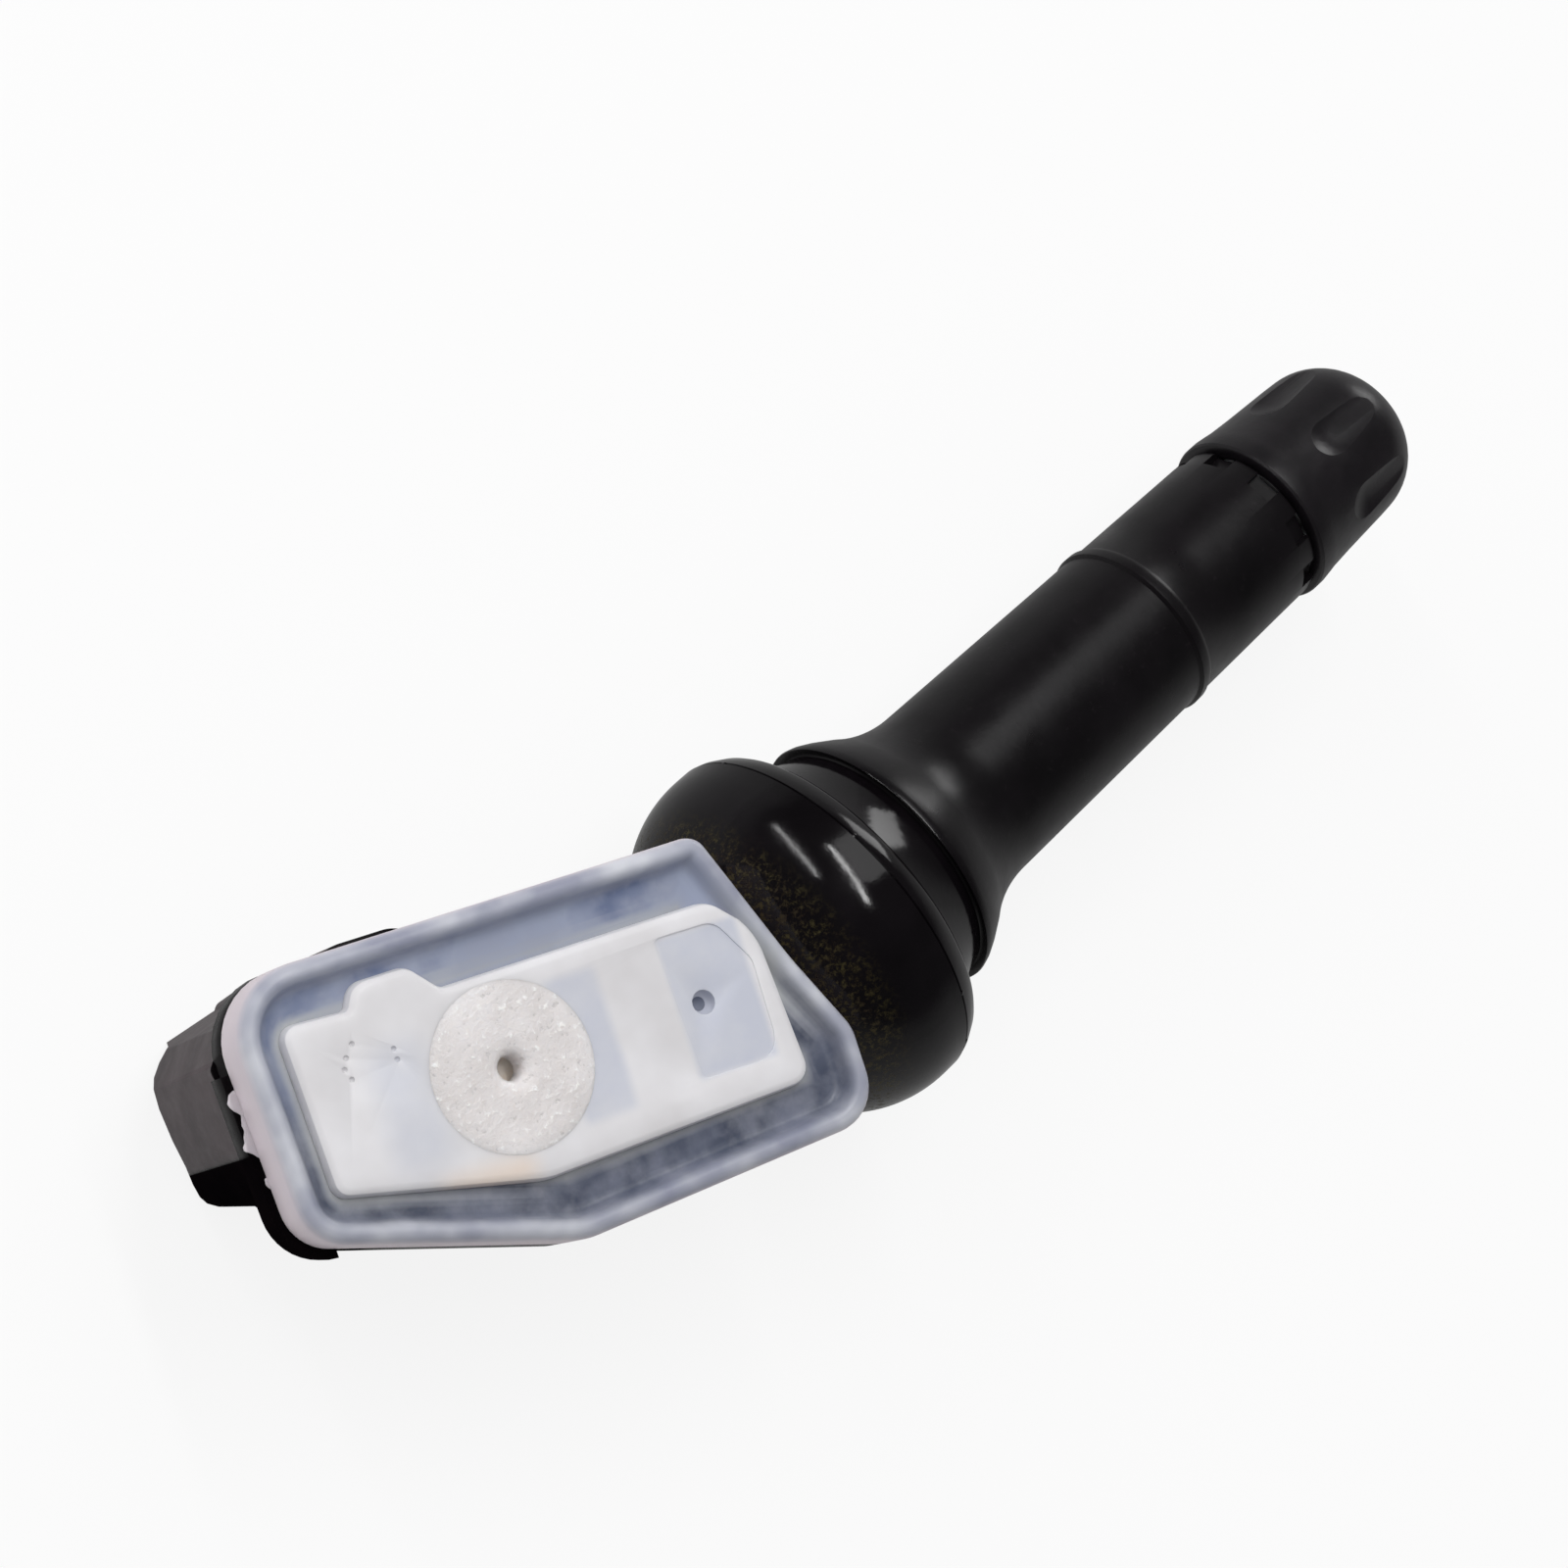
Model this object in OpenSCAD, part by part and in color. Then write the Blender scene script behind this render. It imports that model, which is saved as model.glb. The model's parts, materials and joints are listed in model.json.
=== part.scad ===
// Tyre pressure sensor on a snap-in rubber valve.
// The valve lies along X with its cap at +X, the housing is fixed behind the bulb.
// The part lies on its back: the bulb and the back of the tray touch the ground, the cover faces up.

/* [Valve rubber] */
// Largest diameter of the bulb
bulb_d = 19.7; // [18.6:0.1:21]
// Length of the bulb, from the sealing edge to its flat rear
bulb_len = 10.4; // [9.8:0.1:12]
// Rounding of the bulb's rear
bulb_round = 6.5; // [5.4:0.1:7.5]
// Distance from the sealing edge to the bulb's lip
lip_gap = 3.15; // [2.4:0.05:3.8]
// Diameter over the bulb's lip
lip_d = 18.6; // [17:0.1:18.6]
// Neck diameter at the lip
neck_low_d = 16; // [15:0.1:16.6]
// Neck diameter under the sealing edge
neck_top_d = 13.6; // [12:0.1:14]
// Diameter of the sealing edge
shoulder_d = 14.8; // [14.2:0.1:15.6]
// Radius of the hollow curve between shoulder and sleeve
shoulder_hollow = 7; // [6:0.1:8]
// Sleeve diameter at its foot
sleeve_low_d = 10.3; // [9.8:0.1:11]
// Sleeve diameter below the ring
sleeve_mid_d = 9.84; // [9.4:0.02:10]
// Sleeve diameter at its end
sleeve_top_d = 9.5; // [9:0.1:9.7]
// Place of the ring on the sleeve, from the sealing edge
ring_at = 20; // [12:0.1:24]
// Diameter of the ring
ring_d = 10.15; // [9.9:0.05:10.6]
// Width of the ring
ring_w = 0.7; // [0.4:0.1:1.2]
// Number of notches round the end of the sleeve
notch_count = 10; // [6:1:14]
// Length of a notch
notch_len = 1.1; // [0.8:0.1:2]
// Width of a notch
notch_w = 1.5; // [0.8:0.1:1.8]
// Depth of a notch
notch_depth = 0.5; // [0.3:0.05:0.7]
// Turn of the notches about the stem's axis
notch_turn = 15.6; // [0:0.2:36]

/* [Valve stem] */
// Diameter of the stem's outer thread
thread_d = 7.7; // [7.5:0.05:7.8]
// Pitch of the outer thread, 32 to the inch
thread_pitch = 0.794; // [0.6:0.001:1]
// Distance from the sealing edge to the stem's tip
stem_len = 38.7; // [38:0.1:40]
// Length of the stem that stands out of the rubber
bare_len = 8.7; // [8.6:0.05:9]
// Chamfer at the tip
tip_chamfer = 0.8; // [0.4:0.1:1]
// Diameter of the stem inside the sleeve
stem_d = 7.2; // [6.6:0.1:7.4]
// Diameter of the foot moulded into the bulb
foot_d = 10.4; // [9:0.1:12]
// Thickness of the foot
foot_t = 1.8; // [1.2:0.1:2.4]
// Rubber behind the foot
foot_cover = 0.8; // [0.5:0.1:1.4]
// Diameter of the tail that the housing is screwed to
tail_d = 6.8; // [6.4:0.1:7.4]
// Length of the tail beyond the rubber
tail_len = 1.8; // [1.2:0.1:2.2]
// Width over the flats of the tail
tail_flat = 5.6; // [5.2:0.1:6.2]
// Diameter of the air passage
bore_d = 4; // [3.8:0.05:4.2]
// Diameter of the core's thread in the stem
core_thread_d = 5.1; // [5:0.05:5.3]
// Depth of the core's thread
core_thread_len = 8; // [7.4:0.1:8.6]
// Distance from the tip to the top of the core's seat
seat_at = 9.2; // [8.8:0.1:9.6]
// Length of the conical seat
seat_len = 1; // [0.8:0.1:1.3]

/* [Valve core] */
// Diameter of the core's barrel
barrel_d = 3.5; // [3.3:0.05:3.6]
// Distance from the stem's tip to the end of the barrel
barrel_end = 11.4; // [11:0.1:12]
// Diameter of the spring's chamber
chamber_d = 2.3; // [2.2:0.05:2.5]
// Thickness of the barrel's end
chamber_floor = 0.8; // [0.5:0.1:1]
// Length of the threaded part of the core's head
head_len = 3.2; // [2.6:0.1:3.6]
// Diameter of the bridge that the core tool turns
bridge_d = 3.5; // [3.2:0.1:3.8]
// Length of the bridge
bridge_len = 2.5; // [2:0.1:3]
// Width over the bridge's flats
bridge_flat = 2.9; // [2.8:0.05:3]
// Distance from the stem's tip to the top of the bridge
bridge_drop = 0.4; // [0.2:0.1:0.8]
// Diameter of the pin
pin_d = 0.9; // [0.8:0.05:1]
// Clearance round the pin in its guide
pin_clear = 0.05; // [0.03:0.01:0.08]
// Distance from the stem's tip to the pin's tip
pin_drop = 0.2; // [0:0.05:0.4]
// Diameter of the pin's collar
collar_d = 1.9; // [1.7:0.05:2]
// Distance from the stem's tip to the underside of the collar
collar_at = 3.8; // [3.4:0.1:4.2]
// How far the pin can be pressed in
pin_travel = 1.5; // [1:0.1:1.6]
// Diameter of the cup
cup_d = 3.1; // [2.8:0.1:3.3]
// Length of the cup
cup_len = 1.2; // [1:0.1:1.6]
// Thickness of the cup's bottom
cup_floor = 0.5; // [0.3:0.1:0.6]
// Thickness of the rubber washer in the cup
washer_t = 1.75; // [1.4:0.05:2]
// Wire of the return spring
spring_wire = 0.3; // [0.2:0.02:0.32]
// Mean diameter of the return spring
spring_d = 1.7; // [1.6:0.02:1.75]
// Turns of the return spring
spring_turns = 7; // [5:1:9]

/* [Cap] */
// Length of the cap
cap_len = 10.5; // [10.3:0.1:12]
// Diameter of the rim at the cap's mouth
cap_rim_d = 10.1; // [9.9:0.05:10.6]
// Diameter of the skirt above the rim
cap_skirt_d = 9.74; // [9.6:0.02:9.9]
// Diameter where the top begins to round
cap_top_d = 9.2; // [9.1:0.05:9.4]
// Rounding of the top
cap_round = 3.6; // [3:0.1:3.8]
// How far the cap reaches down the stem from its tip
cap_reach = 8.5; // [8.2:0.05:8.6]
// Number of flutes
flute_count = 7; // [6:1:9]
// Radius of a flute's hollow
flute_r = 3; // [1.6:0.1:3.4]
// Depth of a flute
flute_depth = 0.45; // [0.2:0.05:0.5]
// Distance from the cap's mouth to the tool that cuts the flutes
flute_from = 1.7; // [1:0.1:3]
// Turn of the flutes about the stem's axis
flute_turn = 36.7; // [0:0.2:51]
// Thickness of the rubber seal in the cap
cap_seal_t = 0.6; // [0.4:0.1:0.7]
// Diameter of the rubber seal in the cap
cap_seal_d = 6; // [5.6:0.1:6.2]
// Radial clearance between the two threads
thread_clear = 0.05; // [0.02:0.01:0.08]
// Gap between the seal and the stem's tip
seal_gap = 0.1; // [0.05:0.01:0.15]

/* [Housing] */
// Angle between the housing and the stem
skew = 22; // [16:1:26]
// Point on the stem's axis that the housing turns about, behind the sealing edge
pivot = 9.6; // [9:0.1:10.4]
// Gap between the bulb and the housing
bulb_gap = 0.3; // [0.3:0.05:1]
// Distance from the pivot to the far end of the cover
cover_len = 28.6; // [28.2:0.1:30]
// Half width of the cover on its upper side
cover_up = 7.6; // [7.4:0.1:8]
// Half width of the cover at the valve, on its lower side
cover_low = 7.6; // [7.2:0.1:8.2]
// Half width of the cover at its bend, on its lower side
bend_low = 8.55; // [8.2:0.05:9]
// Distance from the pivot to the bend
bend_at = 15.7; // [14:0.1:18]
// Half width of the cover's far end, on its lower side
end_low = 4.6; // [4.2:0.1:5.2]
// Height of the cover's rim above the stem's axis
rim_z = 9; // [8.8:0.1:9.6]
// Height of the joint between cover and tray above the stem's axis
joint_z = 6; // [5.8:0.1:6.2]
// Width of the cover's rim
rim_w = 1.1; // [0.9:0.05:1.4]
// Depth of the band inside the rim
band_depth = 0.9; // [0.5:0.05:1]
// Thickness of the cover over the band
band_t = 0.8; // [0.6:0.05:0.9]
// Step of the raised island below the rim
island_drop = 0.15; // [0.1:0.05:0.4]
// Diameter of the disc round the port
disc_d = 8; // [7:0.1:8.4]
// Distance from the pivot to the port
port_at = 16.6; // [16:0.1:17.2]
// Diameter of the port
port_d = 1.2; // [0.8:0.1:1.6]
// Thickness of the flange under the joint
flange_t = 1.5; // [1:0.1:1.6]
// How far the flange's lip stands out
lip_out = 0.4; // [0.2:0.05:0.6]
// Where the lip starts on the far end, above the housing's middle
lip_top = 3.7; // [2:0.1:4.5]
// How far the lip runs on along the lower side before it ends
lip_run = 2.3; // [1:0.1:6]
// How far the tray steps in under the flange
tray_step = 0.6; // [0.4:0.1:0.8]
// Height of the tray's floor above the stem's axis
floor_z = 3.3; // [3:0.1:3.4]
// Thickness of the tray's floor
floor_t = 0.9; // [0.7:0.1:1]
// Thickness of the tray's walls
wall = 0.9; // [0.7:0.05:1]
// Width of the ledge that carries the board
ledge_w = 0.9; // [0.6:0.1:1.2]

/* [Cell block and bracket] */
// Diameter of the cell
cell_d = 10; // [9.6:0.1:10.1]
// Height of the cell
cell_h = 9.6; // [8:0.1:9.8]
// Distance from the pivot to the cell
cell_at = 19.8; // [19.4:0.1:20.2]
// Distance of the cell from the housing's middle
cell_off = 1.55; // [1.4:0.05:1.7]
// Gap round the cell, filled by the compound
pot_gap = 0.3; // [0.2:0.05:0.35]
// Distance from the pivot to the block's end
block_end = 28.8; // [28.4:0.1:29]
// Height above the ground at which the block's end starts to slope
slope_from = 4.85; // [3:0.05:6]
// Angle of that slope
slope = 16.6; // [8:0.2:20]
// Free space beside the stem's axis for the driver
driver_r = 2.65; // [2.5:0.05:2.7]
// Thickness of the wall that the screw goes through, behind the bulb
bracket_t = 3.6; // [3.2:0.1:4]
// Gap between the bulb and that wall
bracket_gap = 0.6; // [0.4:0.1:0.8]
// Reach of that wall on the side of the cell
bracket_up = 8; // [7:0.1:9]
// Reach of that wall on the other side
bracket_low = 6.5; // [5.5:0.1:7.5]

/* [Screw] */
// Diameter of the screw's thread
screw_d = 3.4; // [3:0.1:3.6]
// Length under the head
screw_len = 8.2; // [7:0.1:9]
// Diameter of the head
screw_head_d = 4.8; // [4.4:0.1:5]
// Height of the head
screw_head_h = 2; // [1.7:0.1:2.4]
// Diameter of the air hole through the screw
screw_bore = 1.2; // [0.8:0.1:1.4]
// Diameter over the lobes of the socket
socket_d = 2.7; // [2.4:0.1:2.9]
// Depth of the socket
socket_depth = 1.2; // [0.9:0.1:1.4]
// Clearance of the screw in the bracket
screw_clear = 0.3; // [0.2:0.05:0.4]

/* [Electronics] */
// Thickness of the board
board_t = 0.8; // [0.6:0.1:1]
// Clearance round the board
board_clear = 0.2; // [0.1:0.05:0.4]
// Side of the sensor chip
chip_w = 6; // [5:0.1:6.4]
// Height of the sensor chip
chip_h = 1; // [0.8:0.1:1.1]
// Outer diameter of the soft ring on the chip
gasket_d = 4; // [3.6:0.1:4.4]
// Inner diameter of that ring
gasket_bore = 2.6; // [2.2:0.1:2.8]
// Thickness of the filter in the ring
filter_t = 0.15; // [0.1:0.05:0.3]
// Length of the wake-up coil
coil_len = 5; // [4:0.1:5.4]
// Width of the wake-up coil
coil_w = 2.4; // [2:0.1:2.6]
// Height of the wake-up coil
coil_h = 2.2; // [1.8:0.1:2.6]
// Length of the crystal
crystal_len = 3.2; // [2.5:0.1:3.6]
// Number of small capacitors
cap_chips = 6; // [3:1:7]
// Wire of the antenna
antenna_wire = 0.6; // [0.4:0.05:0.7]
// Length of the antenna
antenna_len = 12; // [8:0.5:13]
// Thickness of the contact strips
tab_t = 0.2; // [0.15:0.05:0.25]
// Width of the contact strips
tab_w = 2; // [1.6:0.1:2.6]
// Distance from the cell's middle to the upward bend of the upper strip
tab_turn = 2; // [1.5:0.1:2.4]
// Reach of the upper strip on the other side
tab_reach = 3; // [2.4:0.1:3.6]

/* [Hidden] */
$fn = 96;
eps = 0.01;
// Small gap between pieces that only rest against each other
rest_gap = 0.02;

// Radii and places along the stem, counted from the sealing edge
bulb_r = bulb_d / 2;
bulb_mid = -bulb_len / 2;
rear_r = bulb_r - bulb_round + sqrt(pow(bulb_round, 2) - pow(bulb_len + bulb_mid, 2));
sleeve_from = sqrt(pow(shoulder_hollow, 2) - pow(shoulder_hollow - 1.3, 2)) + 2.1;
tail_x = -bulb_len - tail_len;
foot_back = -bulb_len + foot_cover;
foot_front = foot_back + foot_t;
rubber_len = stem_len - bare_len;
thread_from = rubber_len - 0.6;
tapped_to = foot_front + 2.2;
seat_top = stem_len - seat_at;
seat_low = seat_top - seat_len;
core_end = stem_len - barrel_end;
bridge_top = stem_len - bridge_drop;
bridge_low = bridge_top - bridge_len;
head_low = bridge_low - head_len;
guide_t = 1.2;
pin_tip = stem_len - pin_drop;
collar_low = stem_len - collar_at;
collar_t = 0.6;
washer_x = core_end - 0.05 - washer_t;
cup_x = washer_x - cup_floor;
rivet_t = 0.4;
cap_x = stem_len - cap_reach;
cap_end = cap_x + cap_len;
cap_seal_x = stem_len + seal_gap;
cap_inner_r = thread_d / 2 + thread_clear;

// Places of the housing, along its own axis and from the stem's axis upward
edge_x = -bulb_len - bulb_gap;
band_z = rim_z - band_depth;
plate_z = band_z - band_t;
island_z = rim_z - island_drop;
flange_z = joint_z - flange_t;
board_top = joint_z - 0.3;
board_z = board_top - board_t;
floor_top = floor_z + floor_t;
ground_z = -bulb_r;
bracket_x = -bulb_len - bracket_gap;
bracket_back = bracket_x - bracket_t;
pocket_r = cell_d / 2 + pot_gap;
block_r = pocket_r + wall;
pocket_z = ground_z + wall;
cell_z = pocket_z + tab_t;
cell_top = cell_z + cell_h;
cell_pos = [-cell_at, cell_off];
chip_top = board_top + chip_h;
coil_pos = [-13.1, 0.9];

// From the housing's plane to the stem's plane and back
function to_stem(p) = [-pivot + p.x * cos(skew) + p.y * sin(skew), -p.x * sin(skew) + p.y * cos(skew)];
function to_house(s) = [(s.x + pivot) * cos(skew) - s.y * sin(skew), (s.x + pivot) * sin(skew) + s.y * cos(skew)];
// Place on a line across the stem at x, at the height q of the housing
function on_line(x, q) = [(x + pivot - q * sin(skew)) / cos(skew), q];

// Points of an arc about c, from angle a to angle b
function arc(c, r, a, b, n = 8) = [for (i = [0:n]) c + r * [cos(a + (b - a) * i / n), sin(a + (b - a) * i / n)]];
function unit(v) = v / norm(v);
// Corner b between a and c, rounded to radius r
function corner(a, b, c, r, n = 8) = let (
    u = unit(a - b),
    v = unit(c - b),
    half = acos(u * v) / 2,
    m = b + unit(u + v) * r / sin(half),
    s = b + u * r / tan(half) - m,
    e = b + v * r / tan(half) - m,
    turn = atan2(s.x * e.y - s.y * e.x, s * e),
    from = atan2(s.y, s.x)
) arc(m, r, from, from + turn, n);
// Closed outline with the corner radii rr
function rounded(pts, rr) = [
    for (i = [0:len(pts) - 1])
        each corner(pts[(i + len(pts) - 1) % len(pts)], pts[i], pts[(i + 1) % len(pts)], rr[i])
];

// Outline of the cover: straight sides, square to the stem at the valve
cover_outline = rounded(
    [
        [-cover_len - 0.1, cover_up],
        on_line(edge_x, cover_up),
        on_line(edge_x, -cover_low),
        [-bend_at, -bend_low],
        [-cover_len + 0.35, -end_low]
    ],
    [3.4, 1.2, 3, 4, 2.4]
);
// Outline of the raised island, which widens beside the port
island_outline = rounded(
    [
        [-26.6, 5],
        [-23.3, 4.8],
        [-22.7, 5.9],
        [-19.9, 5.9],
        [-18.6, 4.48],
        [-4.6, 4.48],
        [-2.7, 2.6],
        [-2.3, -5.1],
        [-port_at, -5.4],
        [-26.4, -3.05]
    ],
    [0.8, 0.3, 1.4, 1, 0.6, 1.6, 2, 1, 4, 0.8]
);
// Outline of the part of the block that reaches beyond the round cell
block_outline = rounded(
    [
        [-block_end, 4.2],
        [-block_end + 0.3, 0.4],
        [-block_end + 1.5, -2.1],
        [-cell_at - 4.5, -2.9],
        cell_pos + [-2.6, -block_r + 0.7],
        cell_pos,
        cell_pos + [0, block_r - 0.4],
        cell_pos + [-3, block_r - 0.5],
        [-block_end + 1.3, 5.95]
    ],
    [0.4, 0.8, 1, 0.6, 0.5, 0.3, 0.3, 0.5, 0.25]
);

// Outline of the swelling beside the cell, which shows past the cover
swell_outline = rounded(
    [
        [-cell_at - 3.4, cell_off],
        [-cell_at - 3.4, cover_up - 0.25],
        [-cell_at - 1.6, cover_up + 0.3],
        [-cell_at + 1.2, cover_up + 0.3],
        [-cell_at + 2.8, cover_up - 0.25],
        [-cell_at + 2.8, cell_off]
    ],
    [0.2, 0.6, 2, 2, 0.6, 0.2]
);

// Corners of the part's box, from which its origin is placed
edge_xs = [for (p = cover_outline) to_stem(p).x];
edge_ys = [for (p = cover_outline) to_stem(p).y];
origin = [(min(edge_xs) - lip_out + cap_end) / 2, (max(edge_ys) - bulb_r) / 2];

module on_stem() {
    translate([-origin.x, -origin.y, bulb_r]) children();
}

module turned(points) {
    on_stem() rotate([0, 90, 0]) rotate_extrude() polygon([for (p = points) [p.y, p.x]]);
}

module on_house() {
    on_stem() translate([-pivot, 0, 0]) rotate([0, 0, -skew]) children();
}

module slab(z0, z1, inset = 0) {
    translate([0, 0, z0]) linear_extrude(z1 - z0) offset(delta = -inset) polygon(cover_outline);
}

// Outer surface of the stem: tail, foot, grooved shank and thread
stem_points = [
    [tail_x, 0],
    [tail_x, tail_d / 2 - 0.3],
    [tail_x + 0.3, tail_d / 2],
    [foot_back, tail_d / 2],
    [foot_back, foot_d / 2 - 0.3],
    [foot_back + 0.3, foot_d / 2],
    [foot_front - 0.3, foot_d / 2],
    [foot_front, foot_d / 2 - 0.3],
    [foot_front + 0.6, stem_d / 2],
    [ring_at - 6, stem_d / 2],
    [ring_at - 5.6, stem_d / 2 - 0.4],
    [ring_at - 4.4, stem_d / 2 - 0.4],
    [ring_at - 4, stem_d / 2],
    [thread_from - 0.25, stem_d / 2],
    [thread_from, thread_d / 2],
    [stem_len - tip_chamfer, thread_d / 2],
    [stem_len, thread_d / 2 - tip_chamfer],
    [stem_len, 0]
];

// Outer surface of the rubber: round bulb, lip, neck, shoulder, sleeve with its ring
rubber_points = concat(
    [[-bulb_len, 0]],
    arc([bulb_mid, bulb_r - bulb_round], bulb_round, 180 - asin((rear_r - bulb_r + bulb_round) / bulb_round), 90, 12),
    [
        [-lip_gap - 1.2, bulb_r - 0.05],
        [-lip_gap - 0.15, lip_d / 2 + 0.05],
        [-lip_gap, lip_d / 2 - 0.1],
        [-lip_gap + 0.2, neck_low_d / 2 + 0.25],
        [-lip_gap + 0.5, neck_low_d / 2],
        [0.25, neck_top_d / 2 - 0.1],
        [0, shoulder_d / 2 - 0.1],
        [0.1, shoulder_d / 2],
        [0.5, shoulder_d / 2 - 0.1],
        [1.1, shoulder_d / 2 - 0.4]
    ],
    arc(
        [sleeve_from, sleeve_low_d / 2 + shoulder_hollow],
        shoulder_hollow,
        270 - asin((sleeve_from - 2.1) / shoulder_hollow),
        270,
        8
    ),
    [
        [ring_at - 0.1, sleeve_mid_d / 2],
        [ring_at, ring_d / 2],
        [ring_at + ring_w, ring_d / 2],
        [ring_at + ring_w + 0.2, sleeve_mid_d / 2 - 0.05],
        [rubber_len - 0.2, sleeve_top_d / 2],
        [rubber_len, sleeve_top_d / 2 - 0.2],
        [rubber_len, 0]
    ]
);

// Rubber body, bonded to the stem, with a ring of notches at its end
module valve_rubber() {
    color([0.05, 0.05, 0.05]) difference() {
        turned(rubber_points);
        turned(stem_points);
        on_stem() for (i = [0:notch_count - 1])
            rotate([notch_turn + i * 360 / notch_count, 0, 0])
                translate([rubber_len - notch_len, -notch_w / 2, sleeve_top_d / 2 - notch_depth])
                    cube([notch_len + 1, notch_w, notch_depth + 1]);
    }
}

// Light alloy stem: tapped tail with two flats, air passage, conical seat and core thread
module valve_stem() {
    color([0.75, 0.76, 0.78]) difference() {
        turned(stem_points);
        turned([
            [tail_x - 1, 0],
            [tail_x - 1, screw_d / 2],
            [tapped_to, screw_d / 2],
            [tapped_to, bore_d / 2],
            [seat_low, bore_d / 2],
            [seat_top, core_thread_d / 2 - 0.2],
            [stem_len - core_thread_len, core_thread_d / 2 - 0.2],
            [stem_len - core_thread_len, core_thread_d / 2],
            [stem_len + 1, core_thread_d / 2],
            [stem_len + 1, 0]
        ]);
        on_stem() for (side = [0, 1])
            mirror([0, 0, side])
                translate([tail_x - 1, -tail_d, tail_flat / 2])
                    cube([tail_len + 1, tail_d * 2, tail_d]);
    }
}

// Brass body of the core: bridge with two flats, threaded head, barrel with the spring's chamber
module core_body() {
    color([0.8, 0.65, 0.35]) difference() {
        turned([
            [core_end, 0],
            [core_end, barrel_d / 2 - 0.2],
            [core_end + 0.2, barrel_d / 2],
            [seat_top + 0.1, barrel_d / 2],
            [seat_top + 0.1, barrel_d / 2 + 0.35],
            [seat_top + 0.6, barrel_d / 2 + 0.35],
            [seat_top + 0.6, barrel_d / 2],
            [head_low, barrel_d / 2],
            [head_low, core_thread_d / 2 - 0.35],
            [head_low + 0.3, core_thread_d / 2 - 0.05],
            [bridge_low - 0.3, core_thread_d / 2 - 0.05],
            [bridge_low, core_thread_d / 2 - 0.35],
            [bridge_low, bridge_d / 2],
            [bridge_top - 0.2, bridge_d / 2],
            [bridge_top, bridge_d / 2 - 0.2],
            [bridge_top, 0]
        ]);
        turned([
            [core_end - 1, 0],
            [core_end - 1, pin_d / 2 + 0.2],
            [core_end + chamber_floor, pin_d / 2 + 0.2],
            [core_end + chamber_floor, chamber_d / 2],
            [bridge_top - guide_t, chamber_d / 2],
            [bridge_top - guide_t, pin_d / 2 + pin_clear],
            [bridge_top + 1, pin_d / 2 + pin_clear],
            [bridge_top + 1, 0]
        ]);
        on_stem() for (side = [0, 1])
            mirror([0, 0, side])
                translate([bridge_low + 0.2, -bridge_d, bridge_flat / 2])
                    cube([bridge_len + 1, bridge_d * 2, bridge_d]);
        on_stem() translate([bridge_top - guide_t - 0.65, 0, 0])
            cylinder(h = bridge_d + 2, r = 0.6, center = true);
    }
}

// Sealing ring of the core, a cone that matches the seat in the stem
module core_barrel_seal() {
    color([0.85, 0.3, 0.2]) difference() {
        turned([
            [seat_low + 0.1, 0],
            [seat_low + 0.1, bore_d / 2 - 0.02],
            [seat_top + 0.08, core_thread_d / 2 - 0.23],
            [seat_top + 0.08, 0]
        ]);
        turned([
            [seat_low - 1, 0],
            [seat_low - 1, barrel_d / 2 + 0.005],
            [seat_top + 1, barrel_d / 2 + 0.005],
            [seat_top + 1, 0]
        ]);
    }
}

// Pin with its collar for the spring and the rivet that holds the cup
module core_pin() {
    color([0.8, 0.68, 0.4]) turned([
        [cup_x - rivet_t, 0],
        [cup_x - rivet_t, 0.55],
        [cup_x - rivet_t + 0.15, 0.75],
        [cup_x, 0.75],
        [cup_x, pin_d / 2],
        [collar_low, pin_d / 2],
        [collar_low, collar_d / 2],
        [collar_low + collar_t, collar_d / 2],
        [collar_low + collar_t, pin_d / 2],
        [pin_tip - 0.15, pin_d / 2],
        [pin_tip, pin_d / 2 - 0.15],
        [pin_tip, 0]
    ]);
}

module core_cup() {
    color([0.82, 0.7, 0.42]) turned([
        [cup_x, pin_d / 2],
        [cup_x, cup_d / 2 - 0.2],
        [cup_x + 0.2, cup_d / 2],
        [cup_x + cup_len, cup_d / 2],
        [cup_x + cup_len, cup_d / 2 - 0.25],
        [cup_x + cup_floor, cup_d / 2 - 0.25],
        [cup_x + cup_floor, pin_d / 2]
    ]);
}

module core_cup_seal() {
    color([0.1, 0.1, 0.1]) turned([
        [washer_x, pin_d / 2],
        [washer_x, cup_d / 2 - 0.25],
        [washer_x + washer_t - 0.2, cup_d / 2 - 0.25],
        [washer_x + washer_t, cup_d / 2 - 0.4],
        [washer_x + washer_t, pin_d / 2]
    ]);
}

// Return spring round the pin, standing on the end of the barrel's chamber.
// It is drawn at the length it has with the pin pressed in.
module core_spring() {
    sides = 8;
    steps = 14 * spring_turns;
    low = core_end + chamber_floor + rest_gap + spring_wire / 2;
    high = collar_low - pin_travel - rest_gap - spring_wire / 2;
    rise = (high - low) / steps;
    points = [
        for (i = [0:steps], j = [0:sides - 1]) let (
            a = i * 360 * spring_turns / steps,
            b = j * 360 / sides,
            r = spring_d / 2 + spring_wire / 2 * cos(b)
        ) [low + i * rise + spring_wire / 2 * sin(b), r * cos(a), r * sin(a)]
    ];
    faces = concat(
        [[for (j = [0:sides - 1]) j]],
        [[for (j = [sides - 1:-1:0]) steps * sides + j]],
        [
            for (i = [0:steps - 1], j = [0:sides - 1])
                [i * sides + j, (i + 1) * sides + j, (i + 1) * sides + (j + 1) % sides, i * sides + (j + 1) % sides]
        ]
    );
    color([0.7, 0.7, 0.72]) on_stem() polyhedron(points, faces, convexity = 10);
}

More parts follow.
